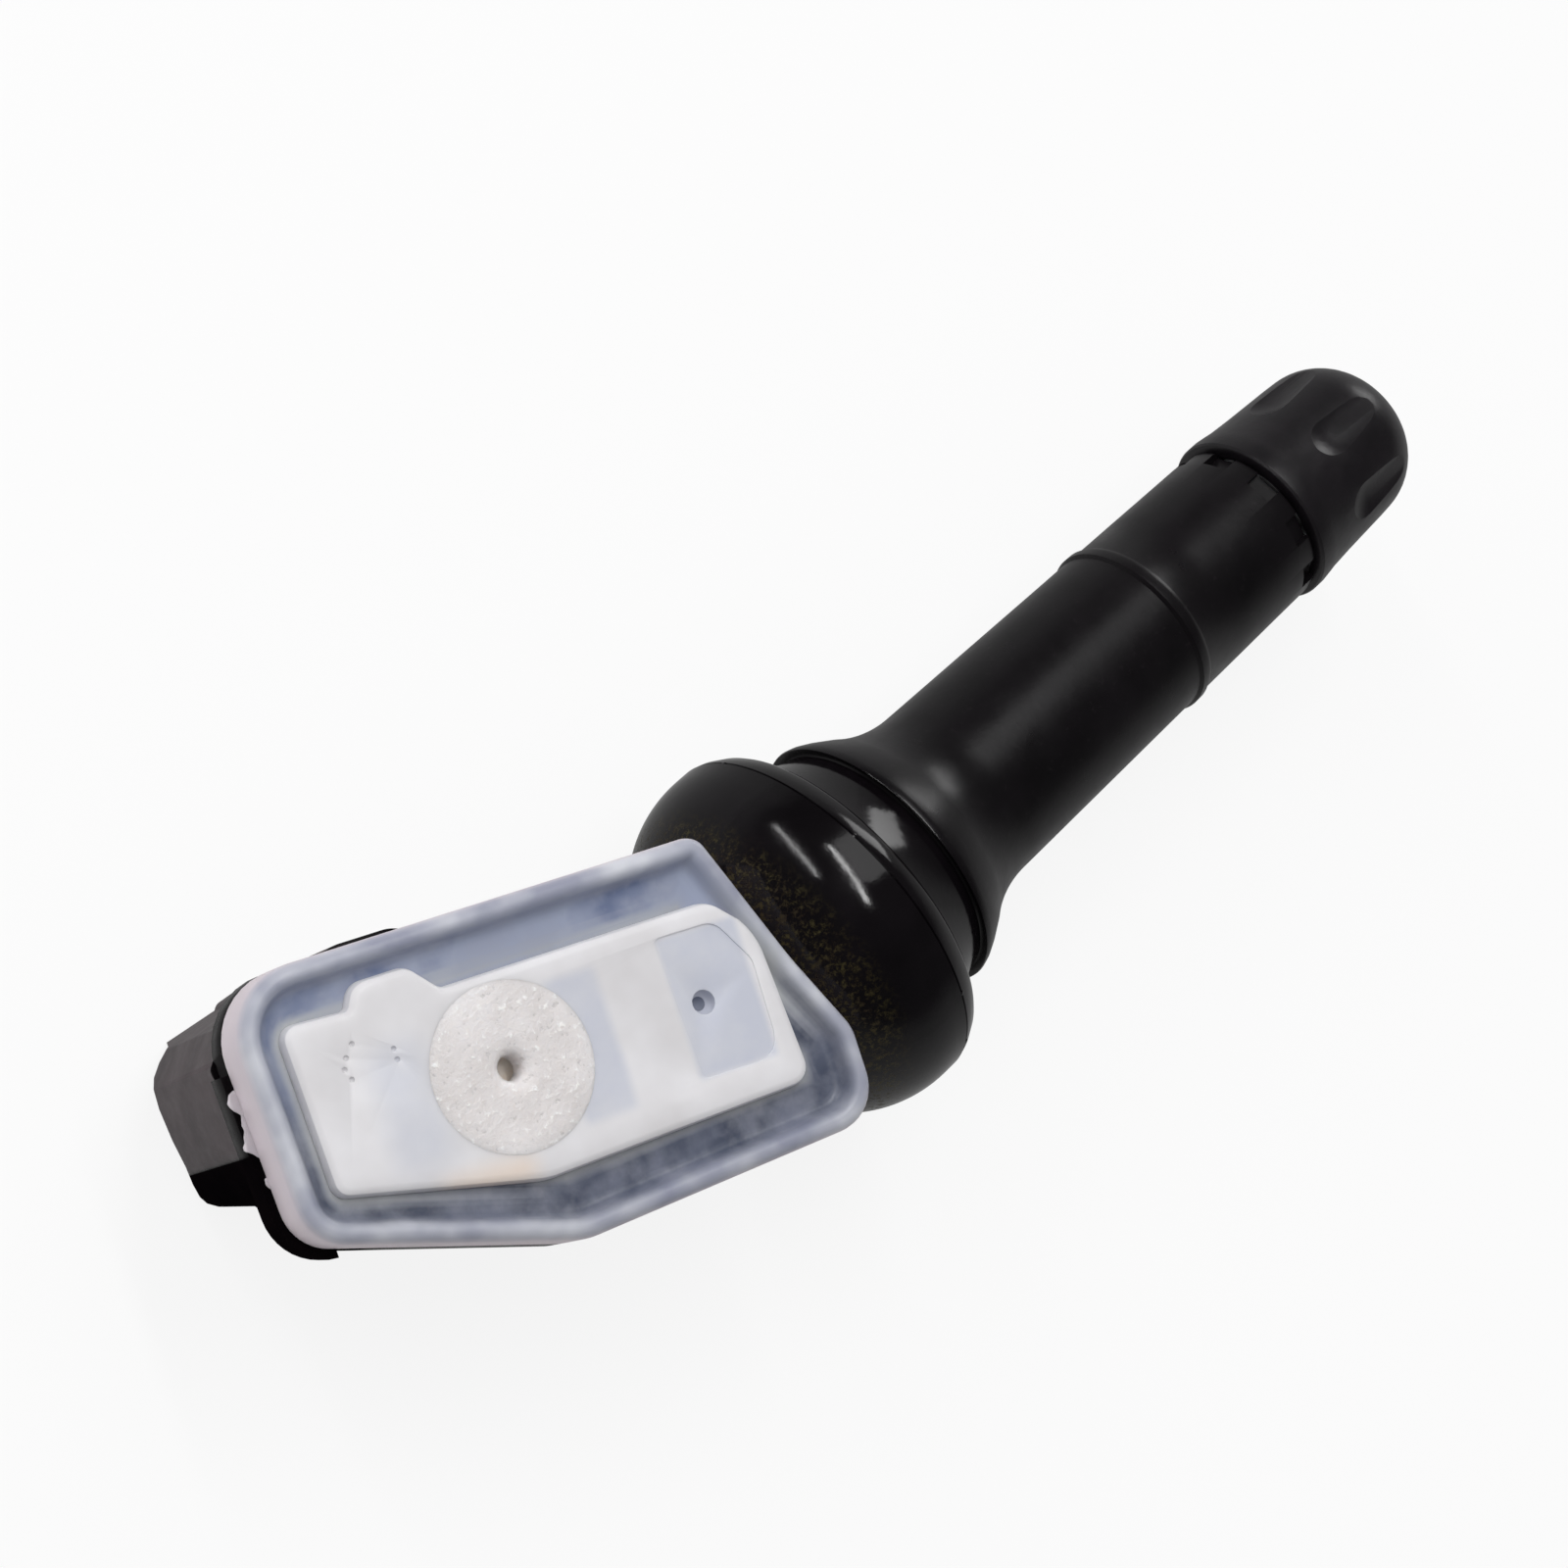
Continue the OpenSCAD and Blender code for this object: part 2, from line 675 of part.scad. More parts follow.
// Dust cap: plain skirt with a rim, flutes that run out through the rounded top
module valve_cap() {
    top_x = cap_end - cap_round;
    color([0.07, 0.07, 0.07]) difference() {
        turned(concat(
            [
                [cap_x, 0],
                [cap_x, cap_rim_d / 2 - 0.2],
                [cap_x + 0.25, cap_rim_d / 2],
                [cap_x + 0.9, cap_rim_d / 2],
                [cap_x + 1.9, cap_skirt_d / 2],
                [top_x, cap_top_d / 2]
            ],
            arc([top_x, cap_top_d / 2 - cap_round], cap_round, 80, 0, 10),
            [[cap_end, 0]]
        ));
        turned([
            [cap_x - 1, 0],
            [cap_x - 1, cap_inner_r + 0.3],
            [cap_x, cap_inner_r + 0.3],
            [cap_x + 0.3, cap_inner_r],
            [stem_len - tip_chamfer + 0.1, cap_inner_r],
            [cap_seal_x, cap_seal_d / 2 + rest_gap],
            [cap_seal_x + cap_seal_t, cap_seal_d / 2 + rest_gap],
            [cap_seal_x + cap_seal_t, 0]
        ]);
        on_stem() for (i = [0:flute_count - 1])
            rotate([flute_turn + i * 360 / flute_count, 0, 0])
                translate([cap_x + flute_from + flute_r, 0, cap_skirt_d / 2 - flute_depth + flute_r]) {
                    sphere(flute_r);
                    rotate([0, 90, 0]) cylinder(h = cap_len, r = flute_r);
                }
    }
}

module cap_seal() {
    color([0.15, 0.15, 0.15]) turned([
        [cap_seal_x, 0],
        [cap_seal_x, cap_seal_d / 2 - 0.1],
        [cap_seal_x + 0.1, cap_seal_d / 2],
        [cap_seal_x + cap_seal_t - rest_gap, cap_seal_d / 2],
        [cap_seal_x + cap_seal_t - rest_gap, 0]
    ]);
}

// Hollow screw with a six-lobe socket, driven from behind along the stem's axis
module retaining_screw() {
    head_x = bracket_back - screw_head_h;
    color([0.65, 0.66, 0.68]) difference() {
        turned([
            [head_x, 0],
            [head_x, screw_head_d / 2 - 0.4],
            [head_x + 0.4, screw_head_d / 2],
            [bracket_back, screw_head_d / 2],
            [bracket_back, screw_d / 2],
            [bracket_back + screw_len - 0.4, screw_d / 2],
            [bracket_back + screw_len, screw_d / 2 - 0.4],
            [bracket_back + screw_len, 0]
        ]);
        on_stem() translate([head_x - 1, 0, 0]) rotate([0, 90, 0]) {
            cylinder(h = screw_len + screw_head_h + 2, d = screw_bore);
            linear_extrude(socket_depth + 1) {
                circle(d = socket_d * 0.72);
                for (i = [0:5])
                    rotate([0, 0, i * 60]) translate([socket_d * 0.36, 0]) circle(d = socket_d * 0.28);
            }
        }
    }
}

module block_plan() {
    polygon(block_outline);
    polygon(swell_outline);
    translate(cell_pos) circle(block_r);
    polygon([
        cell_pos,
        to_house([to_stem(cell_pos).x, driver_r]),
        to_house([bracket_back + eps, driver_r]),
        on_line(bracket_back + eps, cover_up - 0.3),
        [-cell_at, cover_up - 0.3]
    ]);
}

// Wall behind the bulb, square to the stem, with a pocket for the tail and the screw's hole
module bracket() {
    translate([bracket_back, 0, 0]) rotate([90, 0, 90]) linear_extrude(bracket_t)
        polygon(rounded(
            [
                [-bracket_low, ground_z],
                [bracket_up, ground_z],
                [bracket_up, floor_z + 0.5],
                [-bracket_low, floor_z + 0.5]
            ],
            [2, 1, 0.2, 0.2]
        ));
}

// Black tray: flange with its lip, shallow floor, deep block for the cell, screw bracket
module tray() {
    color([0.13, 0.13, 0.14]) difference() {
        union() {
            on_house() slab(floor_z, joint_z - eps, tray_step);
            on_house() slab(flange_z, joint_z);
            on_house() intersection() {
                slab(flange_z, joint_z, -lip_out);
                translate([-cover_len - 5, -bend_low - 5, flange_z - 1])
                    cube([5 + lip_run, bend_low + 5 + lip_top, 4]);
            }
            on_house() translate([0, 0, ground_z]) linear_extrude(flange_z - ground_z + eps) block_plan();
            on_stem() bracket();
        }
        // Space for the board on its ledge, and below it
        on_house() slab(board_z, joint_z + 1, rim_w + board_clear);
        on_house() slab(floor_top, joint_z, rim_w + board_clear + ledge_w);
        // Pocket of the cell
        on_house() translate([cell_pos.x, cell_pos.y, pocket_z])
            cylinder(h = joint_z - pocket_z, r = pocket_r);
        // Well of the wake-up coil
        on_house() translate([coil_pos.x - 0.4, coil_pos.y - 0.4, board_z - coil_h - 0.4])
            cube([coil_w + 0.8, coil_len + 0.8, coil_h + 1]);
        // Cored space between the cell and the bracket, open at the back
        on_house() translate([-12.2, 3.2, ground_z - 1])
            cube([3.4, 2.8, board_z - coil_h - 1.3 - ground_z]);
        // Slope at the end of the block
        on_house() translate([-block_end, 0, ground_z + slope_from])
            rotate([0, -slope, 0]) translate([-10, -15, -15]) cube([10, 30, 15]);
        // Pocket of the stem's tail, and the hole of the screw
        on_stem() difference() {
            translate([tail_x, 0, 0]) rotate([0, 90, 0]) cylinder(h = 5, d = tail_d + 0.1);
            for (side = [0, 1])
                mirror([0, 0, side])
                    translate([tail_x - 1, -tail_d, tail_flat / 2 + 0.05]) cube([8, tail_d * 2, tail_d]);
        }
        on_stem() translate([bracket_back - 1, 0, 0]) rotate([0, 90, 0])
            cylinder(h = bracket_t + 2, d = screw_d + 2 * screw_clear);
    }
}

// Translucent cover, welded to the tray: rim, lower band, raised island, disc with the port
module cover() {
    color([0.86, 0.9, 0.95, 0.75]) difference() {
        on_house() union() {
            difference() {
                slab(joint_z, rim_z);
                slab(band_z, rim_z + 1, rim_w);
                slab(joint_z - 1, plate_z, rim_w);
            }
            translate([0, 0, plate_z]) linear_extrude(island_z - plate_z) polygon(island_outline);
            translate([-port_at, 0, plate_z]) cylinder(h = rim_z - plate_z, d = disc_d);
        }
        on_house() translate([-port_at, 0, joint_z]) cylinder(h = rim_z, d = port_d);
        // Recess near the valve with its dimple
        on_house() translate([0, 0, island_z - 0.3]) linear_extrude(2)
            polygon(rounded([[-8, 3.3], [-7.9, -3.7], [-3.9, -3.9], [-3.5, 1.2], [-4.9, 3.1]], [0.3, 0.3, 0.6, 1, 1]));
        on_house() translate([-6.5, 0, island_z - 0.6]) cylinder(h = 2, d = 1.1);
        // Shallow recess beyond the disc
        on_house() translate([0, 0, island_z - 0.2]) linear_extrude(2) difference() {
            polygon(rounded([[-22.4, 4], [-16, 4], [-16, -3.9], [-21.9, -3.9], [-24, -1]], [0.4, 0.4, 0.4, 0.5, 0.6]));
            translate([-port_at, 0]) circle(d = disc_d - 0.02);
            translate([-port_at, -10]) square(20);
        }
    }
}

module circuit_board() {
    color([0.1, 0.35, 0.2]) on_house() difference() {
        slab(board_z, board_top, rim_w + 2 * board_clear);
        // Notches through which the contact strips are soldered
        translate([cell_pos.x + tab_turn - tab_t, cell_pos.y - tab_w / 2 - 0.1, board_z - 1]) cube([tab_t + 0.2, tab_w + 0.2, 3]);
        translate([cell_pos.x - cell_d / 2 - tab_t - 0.1, cell_pos.y - tab_w / 2 - 0.1, board_z - 1])
            cube([tab_t + 0.2, tab_w + 0.2, 3]);
    }
}

module battery_cell() {
    color([0.78, 0.79, 0.8]) on_house() translate([cell_pos.x, cell_pos.y, cell_z]) rotate_extrude() polygon([
        [0, 0],
        [cell_d / 2 - 1.4, 0],
        [cell_d / 2 - 1, 0.3],
        [cell_d / 2 - 0.3, 0.3],
        [cell_d / 2, 0.6],
        [cell_d / 2, cell_h - 0.4],
        [cell_d / 2 - 0.4, cell_h],
        [0, cell_h]
    ]);
}

// Strip on the cell's upper face, bent up to the board
module battery_tab_top() {
    color([0.8, 0.8, 0.78]) on_house() translate([cell_pos.x, cell_pos.y - tab_w / 2, cell_top]) {
        translate([-tab_reach, 0, 0]) cube([tab_reach + tab_turn, tab_w, tab_t]);
        translate([tab_turn - tab_t, 0, 0]) cube([tab_t, tab_w, board_top - cell_top]);
    }
}

// Strip under the cell, bent up beside it to the board
module battery_tab_bottom() {
    color([0.8, 0.8, 0.78]) on_house() translate([cell_pos.x - cell_d / 2 - tab_t, cell_pos.y - tab_w / 2, pocket_z]) {
        cube([cell_d / 2 + tab_turn, tab_w, tab_t]);
        cube([tab_t, tab_w, board_top - pocket_z]);
    }
}

// Compound cast round the cell, left open where the lower strip passes
module potting() {
    color([0.2, 0.2, 0.22]) on_house() translate([cell_pos.x, cell_pos.y, pocket_z]) difference() {
        cylinder(h = cell_top - pocket_z - 0.4, r = pocket_r);
        translate([0, 0, -1]) cylinder(h = cell_h + 3, d = cell_d);
        translate([-pocket_r - 1, -tab_w / 2 - 0.1, -1]) cube([2, tab_w + 0.2, cell_h + 3]);
    }
}

// Pressure sensor with its open metal lid
module sensor_chip() {
    color([0.2, 0.2, 0.22]) on_house() translate([-port_at, 0, board_top]) difference() {
        union() {
            translate([-chip_w / 2, -chip_w / 2, 0]) cube([chip_w, chip_w, chip_h - 0.2]);
            translate([-chip_w / 2 + 0.3, -chip_w / 2 + 0.3, 0]) cube([chip_w - 0.6, chip_w - 0.6, chip_h]);
        }
        translate([0, 0, chip_h - 0.4]) cylinder(h = 1, d = port_d);
    }
}

module port_gasket() {
    color([0.85, 0.8, 0.7]) on_house() translate([-port_at, 0, chip_top]) difference() {
        cylinder(h = plate_z - chip_top, d = gasket_d);
        translate([0, 0, -1]) cylinder(h = 4, d = gasket_bore);
    }
}

module port_filter() {
    color([0.95, 0.93, 0.88]) on_house() translate([-port_at, 0, chip_top])
        cylinder(h = filter_t, d = gasket_bore - 0.1);
}

// Wake-up coil under the board: ferrite bobbin with its winding
module lf_coil() {
    color([0.3, 0.25, 0.22]) on_house() translate([coil_pos.x, coil_pos.y, board_z - coil_h]) {
        cube([coil_w, 0.9, coil_h]);
        translate([0, coil_len - 0.9, 0]) cube([coil_w, 0.9, coil_h]);
        translate([0.2, 0, 0.2]) cube([coil_w - 0.4, coil_len, coil_h - 0.4]);
    }
}

module crystal() {
    color([0.82, 0.82, 0.8]) on_house() translate([-10.6, 0.6, board_top]) cube([crystal_len, 2.5, 0.8]);
}

module capacitors() {
    color([0.6, 0.5, 0.4]) on_house() for (i = [0:cap_chips - 1])
        translate([-11.4 + i * 1.1, -2.2, board_top]) cube([0.5, 1, 0.5]);
}

// Wire loop over the board
module antenna() {
    rise = 0.5;
    color([0.85, 0.6, 0.35]) on_house() translate([-bend_at - antenna_len / 4, -4.9, board_top]) {
        translate([0, 0, antenna_wire / 2 + rise]) rotate([0, 90, 0])
            cylinder(h = antenna_len, d = antenna_wire);
        translate([antenna_wire / 2, 0, 0]) cylinder(h = rise + antenna_wire / 2, d = antenna_wire * 0.9);
        translate([antenna_len - antenna_wire / 2, 0, 0]) cylinder(h = rise + antenna_wire / 2, d = antenna_wire * 0.9);
    }
}

valve_rubber();
valve_stem();
core_body();
core_barrel_seal();
core_pin();
core_cup();
core_cup_seal();
core_spring();
valve_cap();
cap_seal();
retaining_screw();
tray();
cover();
circuit_board();
battery_cell();
battery_tab_top();
battery_tab_bottom();
sensor_chip();
port_gasket();
port_filter();
lf_coil();
crystal();
capacitors();
antenna();
potting();
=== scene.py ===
# %% [markdown]
# # A tyre pressure sensor on a snap-in valve
# The object has two halves. A black rubber valve is pulled through the rim of a wheel, and a
# plastic housing with a translucent cover is screwed behind its bulb, inside the tyre.
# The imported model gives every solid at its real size. This lesson dresses it: the rubber, the
# cap, the tray and the cover are modelled again with soft edges and small marks of their
# moulds, and each surface gets a procedural material.

# %% Load the frame
import json
import math
import bpy
import bmesh
from mathutils import Matrix, Vector

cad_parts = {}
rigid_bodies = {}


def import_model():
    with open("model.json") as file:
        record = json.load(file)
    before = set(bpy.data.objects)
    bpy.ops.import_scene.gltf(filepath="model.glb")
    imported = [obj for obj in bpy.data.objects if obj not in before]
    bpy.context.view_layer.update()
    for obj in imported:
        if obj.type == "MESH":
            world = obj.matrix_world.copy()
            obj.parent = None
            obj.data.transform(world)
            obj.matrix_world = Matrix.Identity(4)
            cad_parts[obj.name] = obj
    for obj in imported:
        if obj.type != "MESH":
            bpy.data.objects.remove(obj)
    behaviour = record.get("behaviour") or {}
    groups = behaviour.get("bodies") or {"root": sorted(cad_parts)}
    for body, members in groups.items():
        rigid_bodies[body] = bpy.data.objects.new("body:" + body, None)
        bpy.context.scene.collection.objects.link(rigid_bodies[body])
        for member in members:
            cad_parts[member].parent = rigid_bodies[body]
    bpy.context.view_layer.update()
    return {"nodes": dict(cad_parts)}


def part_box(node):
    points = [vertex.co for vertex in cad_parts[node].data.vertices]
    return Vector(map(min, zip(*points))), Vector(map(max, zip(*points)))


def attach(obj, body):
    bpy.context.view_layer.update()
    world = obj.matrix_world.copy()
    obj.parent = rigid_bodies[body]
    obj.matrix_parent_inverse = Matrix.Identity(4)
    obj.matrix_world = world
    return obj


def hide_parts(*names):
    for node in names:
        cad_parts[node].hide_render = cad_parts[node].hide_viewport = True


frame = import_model()
nodes = frame["nodes"]

# %% [markdown]
# ## Where things are
# All places are read from the frame. The stem's axis runs along X through the middle of the
# rubber. Its sealing edge, where the valve lies against the rim, is the zero from which a
# maker would dimension the valve, so every place along the stem is counted from there in
# millimetres. The housing has its own axes, p along it and q across it, turned 22 degrees.

# %% The stem's axis and the housing's axes
MM = 0.001
rubber_lo, rubber_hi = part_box("valve_rubber")
AXIS_Y = (rubber_lo.y + rubber_hi.y) / 2
AXIS_Z = (rubber_lo.z + rubber_hi.z) / 2
RUBBER_LEN = 30.0
EDGE_X = rubber_hi.x - RUBBER_LEN * MM
BULB_LEN = (EDGE_X - rubber_lo.x) / MM
BULB_R = (rubber_hi.z - rubber_lo.z) / 2 / MM
SKEW = math.radians(22)
PIVOT = 9.6


def on_stem(x, y=0.0, z=0.0):
    return Vector((EDGE_X + x * MM, AXIS_Y + y * MM, AXIS_Z + z * MM))


def on_house(p, q, z):
    x = -PIVOT + p * math.cos(SKEW) + q * math.sin(SKEW)
    y = -p * math.sin(SKEW) + q * math.cos(SKEW)
    return on_stem(x, y, z)


print("axis at", round(AXIS_Y * 1000, 3), round(AXIS_Z * 1000, 3), "edge at", round(EDGE_X * 1000, 3))

# %% [markdown]
# ## Modelling helpers
# Most of the valve is turned, so one helper draws half an outline and spins it round the stem.
# The outline starts as a plane merged to a single point, and each extrude adds the next point.
# Everything is deselected before a new piece starts, because an operator acts on all that is
# selected, and the loaded solids are selected.

# %% Helpers for turned pieces
SMOOTH_ANGLE = 35
FINE_MERGE, SEAM_MERGE = 1e-7, 1e-6


def clear_selection():
    if bpy.context.object and bpy.context.object.mode != "OBJECT":
        bpy.ops.object.mode_set(mode="OBJECT")
    bpy.ops.object.select_all(action="DESELECT")


def make_active(piece):
    clear_selection()
    piece.select_set(True)
    bpy.context.view_layer.objects.active = piece


def first_point(name, place):
    clear_selection()
    bpy.ops.mesh.primitive_plane_add(size=MM, location=place)
    piece = bpy.context.object
    piece.name = piece.data.name = name
    bpy.ops.object.mode_set(mode="EDIT")
    bpy.ops.mesh.select_all(action="SELECT")
    bpy.ops.mesh.merge(type="CENTER")
    return piece


def draw_on(places, start):
    last = Vector(start)
    for place in places:
        bpy.ops.mesh.extrude_region_move(TRANSFORM_OT_translate={"value": tuple(Vector(place) - last)})
        last = Vector(place)


def finish_mesh(piece):
    bpy.ops.object.mode_set(mode="OBJECT")
    make_active(piece)
    bpy.ops.object.transform_apply(location=True, rotation=True, scale=True)
    bpy.ops.object.shade_smooth_by_angle(angle=math.radians(SMOOTH_ANGLE))
    return piece


def draw_closed(name, places):
    """A closed outline, drawn point by point, left in edit mode with all selected."""
    piece = first_point(name, places[0])
    draw_on(places[1:] + places[:1], places[0])
    bpy.ops.mesh.select_all(action="SELECT")
    bpy.ops.mesh.remove_doubles(threshold=FINE_MERGE)
    return piece


def spun(name, places, centre, axis, steps):
    """Draws a closed outline and spins it round an axis through the centre."""
    piece = draw_closed(name, places)
    bpy.ops.mesh.spin(steps=steps, angle=math.tau, center=centre, axis=axis)
    bpy.ops.mesh.select_all(action="SELECT")
    bpy.ops.mesh.remove_doubles(threshold=SEAM_MERGE)
    bpy.ops.mesh.normals_make_consistent(inside=False)
    return finish_mesh(piece)


def turned(name, profile, steps):
    """Spins a profile of (x, r) points in millimetres round the stem's axis."""
    return spun(name, [on_stem(x, 0, r) for x, r in profile], on_stem(0), (1, 0, 0), steps)


def arc(cx, cr, r, a, b, n=8):
    turns = [math.radians(a + (b - a) * i / n) for i in range(n + 1)]
    return [(cx + r * math.cos(t), cr + r * math.sin(t)) for t in turns]


# %% [markdown]
# Modifiers finish a piece. A bevel rounds only the edges sharper than an angle, and a boolean
# cuts one piece with another. Each is applied at once, so that the mesh is what is seen.

# %% Helpers for modifiers
def apply_modifier(piece, kind, **settings):
    make_active(piece)
    modifier = piece.modifiers.new(kind.title(), kind)
    for key, value in settings.items():
        setattr(modifier, key, value)
    bpy.ops.object.modifier_apply(modifier=modifier.name)
    return piece


def soften(piece, width, segments, angle):
    apply_modifier(
        piece, "BEVEL", width=width * MM, segments=segments, limit_method="ANGLE",
        angle_limit=math.radians(angle), use_clamp_overlap=True,
    )
    make_active(piece)
    bpy.ops.object.shade_smooth_by_angle(angle=math.radians(SMOOTH_ANGLE))
    return piece


def cut(piece, tool):
    apply_modifier(piece, "BOOLEAN", object=tool, operation="DIFFERENCE", solver="EXACT")
    bpy.data.objects.remove(tool)
    return piece


def joined(name, pieces):
    clear_selection()
    for piece in pieces:
        piece.select_set(True)
    bpy.context.view_layer.objects.active = pieces[0]
    bpy.ops.object.join()
    piece = bpy.context.object
    piece.name = piece.data.name = name
    return piece


def triangles(piece):
    return sum(len(f.vertices) - 2 for f in piece.data.polygons)


# %% [markdown]
# ## The rubber body
# The valve's body is one moulding: a round bulb that stays inside the rim, a lip, a short
# glossy neck that the rim squeezes, a shoulder with a sharp sealing edge, and a long sleeve
# with a ring round it. A turned outline gives all of it at once. It could also be sculpted
# from a cylinder, but an outline keeps every diameter exact.

# %% Turn the rubber body
BULB_ROUND = 6.5
bulb_mid = -BULB_LEN / 2
rear_r = BULB_R - BULB_ROUND + math.sqrt(BULB_ROUND**2 - (BULB_LEN + bulb_mid) ** 2)
rear_angle = 180 - math.degrees(math.asin((rear_r - BULB_R + BULB_ROUND) / BULB_ROUND))
HOLLOW = 7.0
hollow_x = math.sqrt(HOLLOW**2 - (HOLLOW - 1.3) ** 2) + 2.1
hollow_angle = 270 - math.degrees(math.asin((hollow_x - 2.1) / HOLLOW))
rubber_profile = (
    [(-BULB_LEN, 3.45), (-BULB_LEN, 4.6), (-BULB_LEN, rear_r - 0.1)]
    + arc(bulb_mid, BULB_R - BULB_ROUND, BULB_ROUND, rear_angle, 90, 20)
    + [(-4.5, 9.84), (-4.42, 9.84), (-4.35, 9.72), (-4.28, 9.8), (-4.0, 9.72), (-3.35, 9.38)]
    + [(-3.15, 9.2), (-3.08, 9.0), (-2.98, 8.45), (-2.85, 8.15), (-2.6, 8.0)]
    + [(-1.4, 7.4), (-0.4, 7.03), (0.03, 6.92), (0.13, 6.97), (0.02, 7.28)]
    + [(0.03, 7.37), (0.14, 7.4), (0.5, 7.3), (1.1, 7.02)]
    + arc(hollow_x, 5.15 + HOLLOW, HOLLOW, hollow_angle, 270, 14)
    + [(8.5, 5.11), (12.0, 5.05), (16.0, 4.98), (19.6, 4.92), (19.92, 4.92)]
    + [(20.0, 5.0), (20.1, 5.07), (20.55, 5.06), (20.75, 4.98), (20.9, 4.89)]
    + [(23.5, 4.85), (27.0, 4.79), (29.7, 4.75), (29.92, 4.68), (30.0, 4.52)]
    + [(30.0, 3.9), (24.0, 3.7), (0.0, 3.7), (-BULB_LEN + 1.0, 3.7)]
)
rubber = turned("rubber_body", rubber_profile, steps=160)
print("rubber body:", triangles(rubber), "triangles")

# %% [markdown]
# At its outer end the sleeve has a ring of square notches. They let the mould's core grip the
# rubber. One cutter block is made and copied round the stem, and the copies are joined so that
# a single boolean cuts them all.

# %% Cut the notches
NOTCHES, NOTCH_TURN = 10, 15.6
NOTCH_LEN, NOTCH_WIDTH, NOTCH_DEPTH = 1.1, 1.5, 0.5
SLEEVE_END_R = 4.75


def ring_of(make_one, count, offset):
    """Copies of a tool, evenly round the stem, the first turned by offset degrees."""
    copies = []
    for i in range(count):
        piece = make_one()
        make_active(piece)
        bpy.ops.transform.rotate(
            value=-(math.tau * i / count + math.radians(offset)), orient_axis="X", orient_type="GLOBAL",
            center_override=tuple(on_stem(0)),
        )
        bpy.ops.object.transform_apply(location=True, rotation=True, scale=True)
        copies.append(piece)
    return joined("cutter", copies)


def notch_block():
    clear_selection()
    length, height = 3.0, 2.0
    x, r = RUBBER_LEN - NOTCH_LEN + length / 2, SLEEVE_END_R - NOTCH_DEPTH + height / 2
    bpy.ops.mesh.primitive_cube_add(size=1, location=on_stem(x, 0, r))
    piece = bpy.context.object
    piece.scale = (length * MM, NOTCH_WIDTH * MM, height * MM)
    bpy.ops.object.transform_apply(location=True, rotation=True, scale=True)
    return piece


cut(rubber, ring_of(notch_block, NOTCHES, NOTCH_TURN))
print("notched body:", triangles(rubber), "triangles")

# %% [markdown]
# ## The dust cap
# The cap is a turned plastic shell with seven shallow flutes for the fingers. Each flute is the
# trace of a round-nosed cutter that starts above the plain skirt and runs out through the
# domed top. A capsule is made from a sphere whose upper half is pushed up the cap.

# %% Turn the cap and cut its flutes
CAP_X = RUBBER_LEN + 0.2
FLUTES, FLUTE_TURN, FLUTE_FROM = 7, 36.7, 1.7
FLUTE_R, FLUTE_DEPTH, CAP_SKIRT_R = 3.0, 0.45, 4.87
cap_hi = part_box("valve_cap")[1]
CAP_END = (cap_hi.x - EDGE_X) / MM
top_x = CAP_END - 3.6
cap_profile = (
    [(CAP_X, 4.25), (CAP_X, 4.8), (CAP_X + 0.06, 4.95), (CAP_X + 0.2, 5.03), (CAP_X + 0.8, 5.03)]
    + [(CAP_X + 1.3, 4.97), (CAP_X + 1.9, 4.89), (CAP_X + 3.4, 4.79), (top_x - 0.6, 4.65)]
    + arc(top_x, 1.0, 3.6, 86, 0, 16)
    + [(CAP_END, 0.4), (CAP_END, 0.0)]
    + [(CAP_END - 1.3, 0.0), (CAP_END - 1.3, 3.03), (CAP_END - 1.9, 3.05), (CAP_END - 2.7, 3.92)]
    + [(CAP_X + 0.4, 3.92), (CAP_X + 0.05, 4.2)]
)
cap = turned("dust_cap", cap_profile, steps=144)


def flute_cutter():
    clear_selection()
    middle = on_stem(CAP_X + FLUTE_FROM + FLUTE_R, 0, CAP_SKIRT_R - FLUTE_DEPTH + FLUTE_R)
    bpy.ops.mesh.primitive_uv_sphere_add(segments=96, ring_count=48, radius=FLUTE_R * MM, location=middle)
    piece = bpy.context.object
    bpy.ops.object.transform_apply(location=True, rotation=True, scale=True)
    bpy.ops.object.mode_set(mode="EDIT")
    bpy.ops.mesh.select_mode(type="VERT")
    bpy.ops.mesh.select_all(action="DESELECT")
    bpy.ops.object.mode_set(mode="OBJECT")
    for vertex in piece.data.vertices:
        vertex.select = vertex.co.x > middle.x + 1e-6
    bpy.ops.object.mode_set(mode="EDIT")
    bpy.ops.transform.translate(value=(10 * MM, 0, 0))
    bpy.ops.object.mode_set(mode="OBJECT")
    return piece


cut(cap, ring_of(flute_cutter, FLUTES, FLUTE_TURN))
soften(cap, 0.12, segments=3, angle=22)
print("cap:", triangles(cap), "triangles")

# %% [markdown]
# ## Outlines of the housing
# The cover's outline has straight sides and rounded corners, and its edge at the valve is
# nearly square to the stem, just behind the bulb. Parallel outlines, each a little further in,
# give the rim, the band and the rounding of the edges. A helper moves the straight sides
# inwards, finds the new corners and rounds them, so that no ring ever folds over itself.

# %% Rounded, parallel outlines
COVER_CORNERS = [
    (-28.7, 7.6), (-4.1, 7.6), (-1.4, 0.75), (0.55, -3.35), (0.5, -7.75), (-15.7, -8.55), (-28.25, -4.6),
]
COVER_ROUNDS = [3.4, 1.1, 18.0, 2.2, 2.6, 4.0, 2.4]
ISLAND_CORNERS = [
    (-26.6, 5), (-23.3, 4.8), (-22.7, 5.9), (-19.9, 5.9), (-18.6, 4.48), (-4.6, 4.48),
    (-2.7, 2.6), (-2.3, -5.1), (-16.6, -5.4), (-26.4, -3.05),
]
ISLAND_ROUNDS = [0.8, 0.3, 1.4, 1.0, 0.6, 1.6, 2.0, 1.0, 4.0, 0.8]


